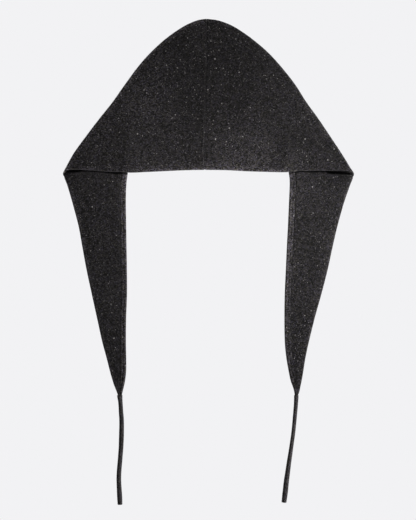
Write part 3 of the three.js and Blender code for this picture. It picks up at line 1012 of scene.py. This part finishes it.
def rim_faces(free, rim, count):
    """Strips of quads round the rim, from the upper face over the rings to the lower face."""
    rim_number = np.full(count, -1)
    rim_number[rim] = np.arange(len(rim))

    def ring_ids(which, ring):
        if ring == 0:
            return which
        if ring == RIM_CELLS:
            return which + count
        return 2 * count + (ring - 1) * len(rim) + rim_number[which]

    strips = []
    for ring in range(RIM_CELLS):
        corners = ((1, ring), (0, ring), (0, ring + 1), (1, ring + 1))
        strips.append(np.stack([ring_ids(free[:, end], which) for end, which in corners], axis=1))
    return np.concatenate(strips)


# Corners, normals and wall of every cell of the finished walls, by the name of the piece
SURFACES = {}


def wall_mesh(name, grid, walls, rims, knit, handed, nap_and_painted_light, direction):
    """A closed wall around a grid of points on its middle surface, with rounded free edges."""
    given = ~np.isnan(grid[..., 0])
    rows, columns = np.nonzero(given[:-1, :-1] & given[:-1, 1:] & given[1:, 1:] & given[1:, :-1])
    normals, used = grid_normals(grid, rows, columns, direction)
    count = int(used.sum())
    number = np.full(used.shape, -1)
    number[used] = np.arange(count)
    quads = np.stack(at_corners(number, rows, columns), axis=1)
    if direction > 0:
        quads = quads[:, ::-1]
    free = free_edges(quads, count)
    middle = grid[used]
    offset = normals[used] * walls[used][:, None] / 2
    rim, outward = edge_directions(middle, normals[used], free)
    reach = outward * rims[used][rim][:, None]
    angles = [math.pi * (0.5 - ring / RIM_CELLS) for ring in range(1, RIM_CELLS)]
    rings = [middle[rim] + offset[rim] * math.sin(angle) + reach * math.cos(angle) for angle in angles]
    vertices = np.vstack([middle + offset, middle - offset, *rings])
    vertices[:, 2] = np.maximum(vertices[:, 2], 0.0)
    faces = np.concatenate([quads, quads[:, ::-1] + count, rim_faces(free, rim, count)])

    places = knit[used]
    run_out = outward[:, :2] * pairs(handed[used][rim], np.ones(len(rim)))
    layers = [middle[rim] + offset[rim], middle[rim] - offset[rim]]
    around = [np.minimum(*(np.linalg.norm(ring - layer, axis=1) for layer in layers)) for ring in rings]
    rim_places = [places[rim] + step[:, None] * run_out for step in around]
    made = make_object(name, vertices * MM, faces.tolist(), np.vstack([places, places, *rim_places]))
    nap_and_painted_light = nap_and_painted_light[used]
    set_values(made, NAP_AND_PAINTED_LIGHT, np.concatenate([nap_and_painted_light, nap_and_painted_light, *([nap_and_painted_light[rim]] * (RIM_CELLS - 1))]))
    corners = at_corners(grid, rows, columns)
    SURFACES[name] = (corners, at_corners(normals, rows, columns), walls[rows, columns])
    return made


# Painted pools of light and shade over the cloth, partly also nap that stands up or lies pressed:
# x and y of the middle, half widths, all in millimetres, and how much lighter
PAINTED_LIGHT_AND_NAP_PATCHES = [
    (-28, 195, 34, 90, -0.3), (38, 200, 36, 95, -0.32), (-98, 158, 45, 75, 0.54),
    (-80, 225, 25, 30, 0.15), (145, 150, 30, 35, 0.25), (30, 62, 115, 22, 0.5),
    (68, 88, 45, 26, 0.54), (-165, 105, 25, 30, 0.3), (136, 100, 22, 24, -0.32),
    (-127, 88, 11, 32, -0.24), (-188, 35, 30, 22, -0.1), (205, 40, 26, 22, -0.4),
    (122, -60, 14, 110, 0.44), (153, -60, 16, 48, -0.2), (130, 22, 20, 32, 0.34),
    (-155, -70, 30, 80, 0.12), (-125, -222, 25, 45, -0.28), (-92, 147, 26, 16, 0.14),
    (66, 138, 18, 12, 0.2), (-102, 112, 26, 11, -0.13), (-108, 74, 9, 18, 0.2), (117, 78, 7, 24, -0.2),
]

# Painted highlights along the outline, at the tips and at the top of the tails, along the hem over the
# opening and beside it, and along the band's free edge; and how much lighter the band is at its two ends
EDGE_PAINTED_HIGHLIGHT = {"left": (0.7, 3.9), "right": (0.85, 1.0)}
EDGE_HIGHLIGHT_RANGE = (-150.0, 60.0)
EDGE_HIGHLIGHT_WIDTH = 4.0
HEM_PAINTED_HIGHLIGHT = 1.55
HEM_HIGHLIGHT_WIDTH = 6.2
HEM_HIGHLIGHT_ENDS = (124.0, 112.0)
HEM_HIGHLIGHT_OUTSIDE = {"left": 0.4, "right": 0.15}
BAND_LIGHTNESS = {"left": (0.98, 1.66), "right": (0.98, 1.5)}
BAND_LIGHTNESS_RANGE = (-230.0, 40.0)
BAND_EDGE_PAINTED_HIGHLIGHT = {"left": 0.85, "right": 0.3}
OUTLINE_POINTS = 150


# Painted light and shade in soft patches, partly nap
def patchy_painted_light_and_nap(x, y):
    nap_and_painted_light = np.ones_like(x)
    for middle_x, middle_y, wide, long, amount in PAINTED_LIGHT_AND_NAP_PATCHES:
        nap_and_painted_light *= 1.0 + amount * hump(x - middle_x, wide) * hump(y - middle_y, long)
    return nap_and_painted_light


def outer_line(side):
    """The outline of one half in plan: down the hood from its point, then down the tail."""
    places = np.linspace(0.0, LAST_ROW, OUTLINE_POINTS)
    rows = np.arange(len(TAIL_ROWS))
    tail = pairs(tail_column(f"{side}_out"), tail_column("y"))
    down = np.linspace(0.0, rows[-1], OUTLINE_POINTS)
    return np.vstack([hood_outline(side, places), spline(rows, tail, down)])


def distance_to(points, line):
    """Distance in plan from every point to the nearest of the dense points of a line."""
    flat = points[..., :2].reshape(-1, 2)
    nearest = np.full(len(flat), np.inf)
    for x, y in line:
        nearest = np.fmin(nearest, (flat[:, 0] - x) ** 2 + (flat[:, 1] - y) ** 2)
    return np.sqrt(nearest).reshape(points.shape[:-1])


def panel_painted_light_and_nap(side, grid, hood_rows):
    """Painted light and shade at every point of a panel's grid, partly nap: patches, outline, hem and crease.
    """
    x, y = grid[..., 0], grid[..., 1]
    edge_highlight = lerp(*EDGE_PAINTED_HIGHLIGHT[side], smoothstep(*EDGE_HIGHLIGHT_RANGE, y))
    from_edge = distance_to(grid, outer_line(side))
    # Painted light patches, times a painted highlight along the outline
    nap_and_painted_light = patchy_painted_light_and_nap(x, y) * (1.0 + edge_highlight * hump(from_edge, EDGE_HIGHLIGHT_WIDTH))
    # Painted shade in the crease where the fold stands open
    nap_and_painted_light[:, PAST_FOLD_COLUMNS] *= painted_crease_shade(x[:, PAST_FOLD_COLUMNS], y[:, PAST_FOLD_COLUMNS])
    over = (slice(0, hood_rows), slice(0, UNDER_START))
    # Painted highlight along the hem
    beside = lerp(HEM_HIGHLIGHT_OUTSIDE[side], 1.0, smoothstep(*HEM_HIGHLIGHT_ENDS, np.abs(x[over])))
    nap_and_painted_light[over] *= 1.0 + HEM_PAINTED_HIGHLIGHT * beside * hump(y[over] - hem_y(x[over]), HEM_HIGHLIGHT_WIDTH)
    return nap_and_painted_light


# The centre seam wanders from right to left on its way down
SEAM_SWAY = (0.9, -2.2)
SEAM_SWAY_RANGE = (260.0, 80.0)
SEAM_SWAY_WIDTH = 15.0

# Where the free edges of the under layer lie a little off the table's outline: x, y, reach along
# and across, shift. Only what lies below the given height moves
EDGE_SWINGS = {
    "left": [(-124.0, 54.0, 15.0, 28.0, 2.2), (-214.0, 45.0, 8.0, 20.0, -1.0)],
    "right": [(123.0, 54.0, 9.0, 28.0, -0.5), (214.0, 45.0, 8.0, 20.0, 1.7)],
}
SWINGS_BELOW = 8.5

# Where the rims get thin towards the tips, and the share that is left there
TIP_RIM_RANGE = (-284.0, -262.0)
TIP_RIM = 0.3


def shift_edge(side, grid):
    low = grid[..., 2] < SWINGS_BELOW
    for x, y, along, across, amount in EDGE_SWINGS[side]:
        share = hump(grid[..., 1] - y, along) * hump(grid[..., 0] - x, across)
        grid[..., 0] += np.where(low, amount * share, 0.0)


def lean_seam(upper):
    sway = lerp(*SEAM_SWAY, smoothstep(*SEAM_SWAY_RANGE, upper[..., 1]))
    upper[..., 0] += sway * hump(upper[..., 0] - SEAM_X, SEAM_SWAY_WIDTH)


def tip_share(y):
    """How much of a rim's reach is left on the way down to the tips."""
    return lerp(TIP_RIM, 1.0, smoothstep(*TIP_RIM_RANGE, y))


def panel_grid(side):
    """A panel's middle surface, its places in the knit, its walls, and how many rows the hood has."""
    places = outline_places()
    upper, fold = hood_grid(side, places)
    outer, inner = under_grid(side, places, fold)
    tail, gather = tail_grid(side, outer[-1])
    parts = (upper, fold, outer, inner, tail)
    hood = slice(0, len(places))
    blocks = [(hood, UPPER_COLUMNS), (hood, FOLD_COLUMNS), (hood, OUTER_COLUMNS), (hood, INNER_COLUMNS),
              (slice(len(places), None), OUTER_COLUMNS)]
    grid = np.full((len(places) + len(tail), INNER_START + INNER_CELLS, 3), np.nan)
    across = np.zeros(grid.shape[:2])
    for block, part, part_across in zip(blocks, parts, knit_across(side, *parts)):
        grid[block] = part
        across[block] = part_across
    under = grid[:, PAST_FOLD_COLUMNS]
    inner_x = grid[:, INNER_START - 1, 0][:, None]
    outer_x = grid[:, UNDER_START, 0][:, None]
    under[..., 2] += under_relief(side, under[..., 0], under[..., 1], inner_x, outer_x)
    climb = climbing(grid[:, OUTER_COLUMNS], 1)
    across[:, PAST_FOLD_COLUMNS] += climb
    across[hood, INNER_COLUMNS] += climb[hood, -1:]
    along = grid[..., 1].copy()
    on_fold, past_fold = fold_turn(upper, fold, outer)
    along[hood, FOLD_COLUMNS] += on_fold
    along[hood, PAST_FOLD_COLUMNS] += past_fold[:, 1:]
    along[1:, PAST_FOLD_COLUMNS] -= climbing(under, 0)
    walls = np.full(across.shape, WALL)
    walls[len(places):] += gather[:, None]
    return grid, pairs(across, along), walls, len(places)


# Where the upper layer of each half meets the centre seam
SEAM_ROWS = {}


def make_panel(side):
    direction = SIDES[side]
    grid, knit, walls, hood_rows = panel_grid(side)
    rims = np.full(walls.shape, FREE_RIM + EDGE_FUZZ)
    rims[:hood_rows, 0] = SEAM_RIM
    rims[0, :] = SEWN_RIM
    rims *= tip_share(np.nan_to_num(grid[..., 1]))
    rims[:, INNER_START - 1] = SEWN_RIM
    rims[:hood_rows, INNER_COLUMNS] = SEWN_RIM
    nap_and_painted_light = panel_painted_light_and_nap(side, grid, hood_rows)
    shift_edge(side, grid)
    lean_seam(grid[:hood_rows, UPPER_COLUMNS])
    SEAM_ROWS[side] = grid[:hood_rows, 0]
    handed = np.full(walls.shape, -direction)
    handed[:hood_rows, UPPER_COLUMNS] = direction
    panel = wall_mesh(f"{side}_knit_panel", grid, walls, rims, knit, handed, nap_and_painted_light, direction)
    finish_piece(panel, PLAIN_KNIT, [f"{side}_panel"])
    return panel


panels = {side: make_panel(side) for side in SIDES}


# The ribbed band round the face opening and down both tails
BAND_CELLS = 20
BAND_STEP = 2.4
BAND_FINE_REACH = 18.0
BAND_RIM = 0.8
BAND_SEWN_RIM = 0.1
BAND_LIFTS_BELOW = 60.0
RIB_PITCH = 4.25
RIB_DEPTH = 0.36
RIB_SHARE = 0.75


def band_wave(inset, pitch):
    return 0.5 - 0.5 * np.cos(inset / pitch * math.tau)


def band_half(side):
    """One half of the band from the seam to the tip: middle surface, walls, knit map, and its lightness with
    painted highlight and shade.
    """
    marks = EDGES[side][2]
    fine_from = marks["leaves_hood"] - BAND_FINE_REACH
    fine_to = marks["leaves_hood"] + BAND_FINE_REACH
    distance = np.concatenate([np.arange(0.0, fine_from, BAND_STEP), np.arange(fine_from, fine_to, HEM_STEP),
                               np.linspace(fine_to, marks["tip"], int((marks["tip"] - fine_to) / BAND_STEP))])
    at = {name: values[:, None] for name, values in edge_at(side, distance).items()}
    share = np.linspace(0.0, 1.0, BAND_CELLS + 1)
    inset = BAND_RIM + (at["width"] - BAND_RIM - BAND_SEWN_RIM) * share
    x = at["x"] + at["in_x"] * inset
    y = at["y"] + at["in_y"] * inset
    rib = RIB_SHARE * band_wave(inset, RIB_PITCH) + (1.0 - RIB_SHARE) * band_wave(inset, RIB_PITCH / 2)
    full_wall = BAND_WALL + at["gather"]
    wall = full_wall * (1.0 - RIB_DEPTH * (1.0 - rib))
    out_x = tail_column(f"{side}_out")
    outer_x = np.interp(-y, -np.concatenate([[BAND_LIFTS_BELOW], tail_column("y")]),
                        np.concatenate([out_x[:1], out_x]))
    inner_x = at["x"] + at["in_x"] * at["width"]
    lift = np.where(y < BAND_LIFTS_BELOW, under_relief(side, x, y, inner_x, outer_x), 0.0)
    grid = np.stack([x, y, full_wall / 2 + lift], axis=-1)
    knit = pairs(inset * SIDES[side], y)
    knit[1:, :, 1] -= climbing(grid, 0)
    # The band is lighter towards its top
    nap_and_painted_light = lerp(*BAND_LIGHTNESS[side], smoothstep(*BAND_LIGHTNESS_RANGE, y))
    # Painted shade in the crease where the fold stands open
    nap_and_painted_light = nap_and_painted_light * np.where(y < BAND_LIFTS_BELOW, painted_crease_shade(x, y), 1.0)
    # Painted highlight along the band's free edge
    nap_and_painted_light = nap_and_painted_light * (1.0 + BAND_EDGE_PAINTED_HIGHLIGHT[side] * hump(inset - BAND_RIM, EDGE_HIGHLIGHT_WIDTH))
    shift_edge(side, grid)
    return grid, wall, knit, nap_and_painted_light


def make_band():
    halves = zip(band_half("left"), band_half("right"))
    grid, wall, knit, nap_and_painted_light = (np.concatenate([left[::-1], right[1:]]) for left, right in halves)
    rims = (BAND_RIM + EDGE_FUZZ) * tip_share(grid[..., 1])
    rims[:, -1] = BAND_SEWN_RIM
    made = wall_mesh("ribbed_face_band", grid, wall, rims, knit, np.ones(wall.shape), nap_and_painted_light, 1.0)
    finish_piece(made, RIB_KNIT, ["face_band"])
    return made


band = make_band()

# Flecks and loose fibres of wool: how many, the share of those on the tails that lie on top, and a
# direction that no piece of the surface faces
FLECKS = {"left_knit_panel": 2300, "right_knit_panel": 2300, "ribbed_face_band": 260}
FIBRES = {"left_knit_panel": 5000, "right_knit_panel": 5000, "ribbed_face_band": 500}
WOOL_SEED = 20
TAILS_BELOW = 50.0
TOP_SHARE = 0.75
NOT_FACED = (0.0, 1.0, 0.13)

# Tones: their mean and limit, and how the size of a fleck grows with its tone
FLECK_TONE = 0.21
FLECK_TONE_LIMIT = 1.6
FLECK_GROWS_FROM = 0.5
FLECK_SIZE = 1.2
FLECK_GROWTH = 0.85
FIBRE_TONE = 0.2
FIBRE_TONE_START = 0.02
FIBRE_TONE_LIMIT = 1.2

# Sizes in millimetres, and shares of a fibre's length
FLECK_LENGTH = (0.5, 0.95)
FLECK_WIDTH = (0.4, 0.62)
FLECK_HEIGHT = 0.26
FLECK_BUMPS = (0.8, 1.15)
FIBRE_LENGTH = (1.2, 3.6)
FIBRE_HEIGHT = (0.15, 0.9)
FIBRE_ARCH = 0.3
FIBRE_BEND = 0.35
FIBRE_THICK = (0.028, 0.055)
FIBRE_SUNK = 0.05
FIBRE_LOWEST = 0.02
FIBRE_RINGS = 3


def surface_points(name, count, rng):
    """Random places on the faces of a wall that show, in millimetres, with the way out of the cloth."""
    corners, normals, wall = SURFACES[name]
    area = np.linalg.norm(np.cross(corners[2] - corners[0], corners[3] - corners[1]), axis=1)
    chosen = rng.choice(len(area), size=count, p=area / area.sum())
    u, v = rng.random((2, count, 1))
    weights = ((1 - u) * (1 - v), u * (1 - v), u * v, (1 - u) * v)
    place = sum(weight * corner[chosen] for weight, corner in zip(weights, corners))
    out = unit(sum(weight * normal[chosen] for weight, normal in zip(weights, normals)))
    on_top = rng.random(count) < TOP_SHARE
    turned = (place[:, 1] < TAILS_BELOW) & (on_top != (out[:, 2] > 0.0))
    out[turned] *= -1.0
    return place + out * wall[chosen][:, None] / 2, out


def directions_on(out, angle):
    """Two directions square to out, turned by an angle."""
    first = unit(np.cross(out, NOT_FACED))
    second = np.cross(out, first)
    c, s = np.cos(angle)[:, None], np.sin(angle)[:, None]
    return first * c + second * s, second * c - first * s


def lump():
    """A small closed lump with twelve corners."""
    golden = (1 + math.sqrt(5)) / 2
    corners = [
        (-1, golden, 0), (1, golden, 0), (-1, -golden, 0), (1, -golden, 0),
        (0, -1, golden), (0, 1, golden), (0, -1, -golden), (0, 1, -golden),
        (golden, 0, -1), (golden, 0, 1), (-golden, 0, -1), (-golden, 0, 1),
    ]
    faces = [
        (0, 11, 5), (0, 5, 1), (0, 1, 7), (0, 7, 10), (0, 10, 11), (1, 5, 9), (5, 11, 4), (11, 10, 2),
        (10, 7, 6), (7, 1, 8), (3, 9, 4), (3, 4, 2), (3, 2, 6), (3, 6, 8), (3, 8, 9), (4, 9, 5), (2, 4, 11),
        (6, 2, 10), (8, 6, 7), (9, 8, 1),
    ]
    return np.array(corners) / math.hypot(1, golden), np.array(faces)


def lumps_at(place, directions, sizes, shapes):
    """Points of a lump at every place: directions and sizes are its long, wide and high ones."""
    points = place[:, None, :]
    for k, (direction, size) in enumerate(zip(directions, sizes)):
        points = points + shapes[..., k:k + 1] * (direction * size)[:, None, :]
    return points


def make_wool(name, points, faces, tones):
    """One piece from many copies of a small shape: points is copies by corners by 3, in millimetres."""
    copies, corners, _ = points.shape
    all_faces = (faces[None, :, :] + (np.arange(copies) * corners)[:, None, None]).reshape(-1, faces.shape[1])
    made = make_object(name, points.reshape(-1, 3) * MM, all_faces.tolist())
    set_values(made, TONE, np.repeat(tones, corners))
    finish_piece(made, LOOSE_WOOL, [])
    return made


def make_flecks(name, rng):
    """Pale flecks in the yarn: many faint ones and a few bright ones."""
    count = FLECKS[name]
    place, out = surface_points(name, count, rng)
    first, second = directions_on(out, rng.uniform(0, math.pi, count))
    tones = np.clip(rng.exponential(FLECK_TONE, count), 0.0, FLECK_TONE_LIMIT)
    grown = FLECK_SIZE + FLECK_GROWTH * np.clip(tones - FLECK_GROWS_FROM, 0.0, 1.0)
    length = rng.uniform(*FLECK_LENGTH, count) * grown
    width = rng.uniform(*FLECK_WIDTH, count) * grown
    shape, faces = lump()
    bumpy = shape[None, :, :] * rng.uniform(*FLECK_BUMPS, (count, len(shape), 1))
    sizes = (length[:, None], width[:, None], FLECK_HEIGHT)
    points = lumps_at(place, (first, second, out), sizes, bumpy)
    points[..., 2] = np.maximum(points[..., 2], 0.0)
    return make_wool(f"{name}_flecks", points, faces, tones)


def make_fibres(name, rng):
    """Short loose fibres that arch out of the knit."""
    count = FIBRES[name]
    place, out = surface_points(name, count, rng)
    first, second = directions_on(out, rng.uniform(0, math.tau, count))
    length = rng.uniform(*FIBRE_LENGTH, count)
    height = rng.uniform(*FIBRE_HEIGHT, count) * length * FIBRE_ARCH
    bend = rng.uniform(-FIBRE_BEND, FIBRE_BEND, count) * length
    thick = rng.uniform(*FIBRE_THICK, count)
    tones = np.clip(rng.exponential(FIBRE_TONE, count) + FIBRE_TONE_START, 0.0, FIBRE_TONE_LIMIT)
    return fibre_piece(f"{name}_fibres", place, (first, second, out), (length, bend, height, thick), tones)


def fibre_faces():
    """Triangles of a spindle: a point, rings of three corners and a point."""
    faces = []
    for corner in range(3):
        after = (corner + 1) % 3
        faces.append((0, 1 + after, 1 + corner))
        for low in range(1, 3 * FIBRE_RINGS - 2, 3):
            faces.append((low + corner, low + after, low + 3 + after))
            faces.append((low + corner, low + 3 + after, low + 3 + corner))
        low = 3 * FIBRE_RINGS - 2
        faces.append((low + corner, low + after, low + 3))
    return np.array(faces)


def fibre_piece(name, place, directions, sizes, tones):
    """Thin closed spindles, bent sideways and arched away from the cloth, around their middle places."""
    first, second, out = directions
    length, bend, height, thick = (size[:, None] for size in sizes)
    rings = []
    for part in np.linspace(0.0, 1.0, FIBRE_RINGS + 2):
        arch = 4 * part * (1 - part)
        rings.append(place + first * length * (part - 0.5) + second * bend * arch
                     + out * (height * arch - FIBRE_SUNK))
    points = [rings[0]]
    for ring in rings[1:-1]:
        for turn in (0.0, math.tau / 3, 2 * math.tau / 3):
            points.append(ring + (second * math.cos(turn) + out * math.sin(turn)) * thick)
    points.append(rings[-1])
    points = np.stack(points, axis=1)
    points[..., 2] = np.maximum(points[..., 2], FIBRE_LOWEST)
    return make_wool(name, points, fibre_faces(), tones)


# A long pale hair that lies over the hood's lower edge, left of the face opening
STRAY_PLACE = (-148.6, 61.5)
STRAY_HEADING = math.atan2(-9.1, 6.75)
STRAY_LENGTH = 11.5
STRAY_BEND = 1.1
STRAY_ARCH = 0.4
STRAY_THICK = 0.13
STRAY_LIFT = 0.2
STRAY_TONE = 1.3
UPPER_LAYER_ABOVE = 5.0


def make_stray_fibre():
    corners, _, wall = SURFACES["left_knit_panel"]
    x, y, z = corners[0].T
    away = np.hypot(x - STRAY_PLACE[0], y - STRAY_PLACE[1])
    nearest = np.argmin(np.where(z > UPPER_LAYER_ABOVE, away, np.inf))
    place = np.array([[*STRAY_PLACE, z[nearest] + wall[nearest] / 2 + STRAY_LIFT]])
    c, s = math.cos(STRAY_HEADING), math.sin(STRAY_HEADING)
    directions = np.array([[[c, s, 0.0]], [[-s, c, 0.0]], [UP]])
    sizes = np.array([[STRAY_LENGTH], [STRAY_BEND], [STRAY_ARCH], [STRAY_THICK]])
    return fibre_piece("stray_pale_fibre", place, directions, sizes, np.array([STRAY_TONE]))


# The stitches that link the two halves along the centre seam: length, width and height, lean,
# place beside the seam, and tones at the top and at the bottom
LINK_STEP = 1.2
LINK_SIZE = (0.75, 0.42, 0.4)
LINK_TILT = 0.3
LINK_TILT_SPREAD = 0.15
LINK_ASIDE = -2.4
LINK_LIFT = 0.1
LINK_TONES = (0.02, 0.16)
LINK_TONE_RANGE = (180.0, 80.0)
LINK_TONE_LIMIT = 0.5


def make_seam_links(rng):
    line = (SEAM_ROWS["left"] + SEAM_ROWS["right"]) / 2
    run = run_along(line)
    at = np.arange(LINK_STEP / 2, run[-1], LINK_STEP)
    place = points_at(at, run, line) + (LINK_ASIDE, 0.0, WALL / 2 + LINK_LIFT)
    spread = rng.uniform(-LINK_TILT_SPREAD, LINK_TILT_SPREAD, len(at))
    tilt = LINK_TILT * np.where(np.arange(len(at)) % 2, 1.0, -1.0) + spread
    along = np.stack([np.sin(tilt), np.cos(tilt), np.zeros(len(at))], axis=1)
    across = np.stack([np.cos(tilt), -np.sin(tilt), np.zeros(len(at))], axis=1)
    shape, faces = lump()
    points = lumps_at(place, (along, across, UP[None, :]), LINK_SIZE, shape[None, :, :])
    tones = rng.exponential(1.0, len(at)) * lerp(*LINK_TONES, smoothstep(*LINK_TONE_RANGE, place[:, 1]))
    return make_wool("centre_seam_links", points, faces, np.clip(tones, 0.0, LINK_TONE_LIMIT))


random = np.random.default_rng(WOOL_SEED)
loose = {name: [make_flecks(name, random), make_fibres(name, random)] for name in FLECKS}
loose["left_knit_panel"] += [make_stray_fibre(), make_seam_links(random)]

# Floor and light
PAPER = (0.8879, 0.8879, 0.9047, 1.0)
FLOOR_REACH = 40.0
FLOOR_DROP = 0.0002
WORLD_LIGHT = 0.25


def make_floor():
    vertices = [(x * FLOOR_REACH, y * FLOOR_REACH, 0.0) for x, y in ((-1, -1), (1, -1), (1, 1), (-1, 1))]
    mesh = bpy.data.meshes.new("paper_floor")
    mesh.from_pydata(vertices, [], [(0, 1, 2, 3)])
    floor = bpy.data.objects.new("paper_floor", mesh)
    floor.location.z = -FLOOR_DROP
    bpy.context.scene.collection.objects.link(floor)
    nodes = Nodes("pale_paper")
    glow = nodes.node("ShaderNodeEmission", Color=PAPER, Strength=1.0)
    nodes.plug(nodes.tree.nodes["Material Output"].inputs["Surface"], glow.outputs[0])
    mesh.materials.append(nodes.material)


def make_world():
    """Pale paper where the camera sees past the floor, and a weaker light from all around."""
    world = bpy.data.worlds.new("studio")
    bpy.context.scene.world = world
    world.use_nodes = True
    tree = world.node_tree
    seen = tree.nodes["Background"]
    seen.inputs["Color"].default_value = PAPER
    light = tree.nodes.new("ShaderNodeBackground")
    light.inputs["Color"].default_value = PAPER
    light.inputs["Strength"].default_value = WORLD_LIGHT
    path = tree.nodes.new("ShaderNodeLightPath")
    mix = tree.nodes.new("ShaderNodeMixShader")
    sources = (path.outputs["Is Camera Ray"], light.outputs[0], seen.outputs[0])
    for source, socket in zip(sources, mix.inputs):
        tree.links.new(source, socket)
    tree.links.new(mix.outputs[0], tree.nodes["World Output"].inputs["Surface"])


def make_light(name, kind, place, target, **settings):
    """A lamp at a place, turned towards its target, with the settings that its kind has."""
    data = bpy.data.lights.new(name, kind)
    for setting, value in settings.items():
        setattr(data, setting, value)
    light = bpy.data.objects.new(name, data)
    light.location = place
    aim = np.array(target) - np.array(place)
    pitch = math.atan2(math.hypot(aim[0], aim[1]), -aim[2])
    light.rotation_euler = (pitch, 0.0, math.atan2(aim[1], aim[0]) - math.pi / 2)
    bpy.context.scene.collection.objects.link(light)


# The spots make round soft pools of light on the hood and on the right tail
make_floor()
make_world()
make_light("key_light", "AREA", (2.2, -1.1, 1.0), (0.0, 0.0, 0.0), shape="DISK", size=0.7, energy=98.0)
SPOT = {"shadow_soft_size": 0.12, "spot_blend": 1.0}
make_light("hood_spot", "SPOT", (0.42, -0.22, 0.42), (0.075, 0.06, 0.0), energy=7.2,
           spot_size=math.radians(34.0), **SPOT)
make_light("tail_spot", "SPOT", (0.5, -0.3, 0.5), (0.13, -0.04, 0.0), energy=11.5,
           spot_size=math.radians(36.0), **SPOT)
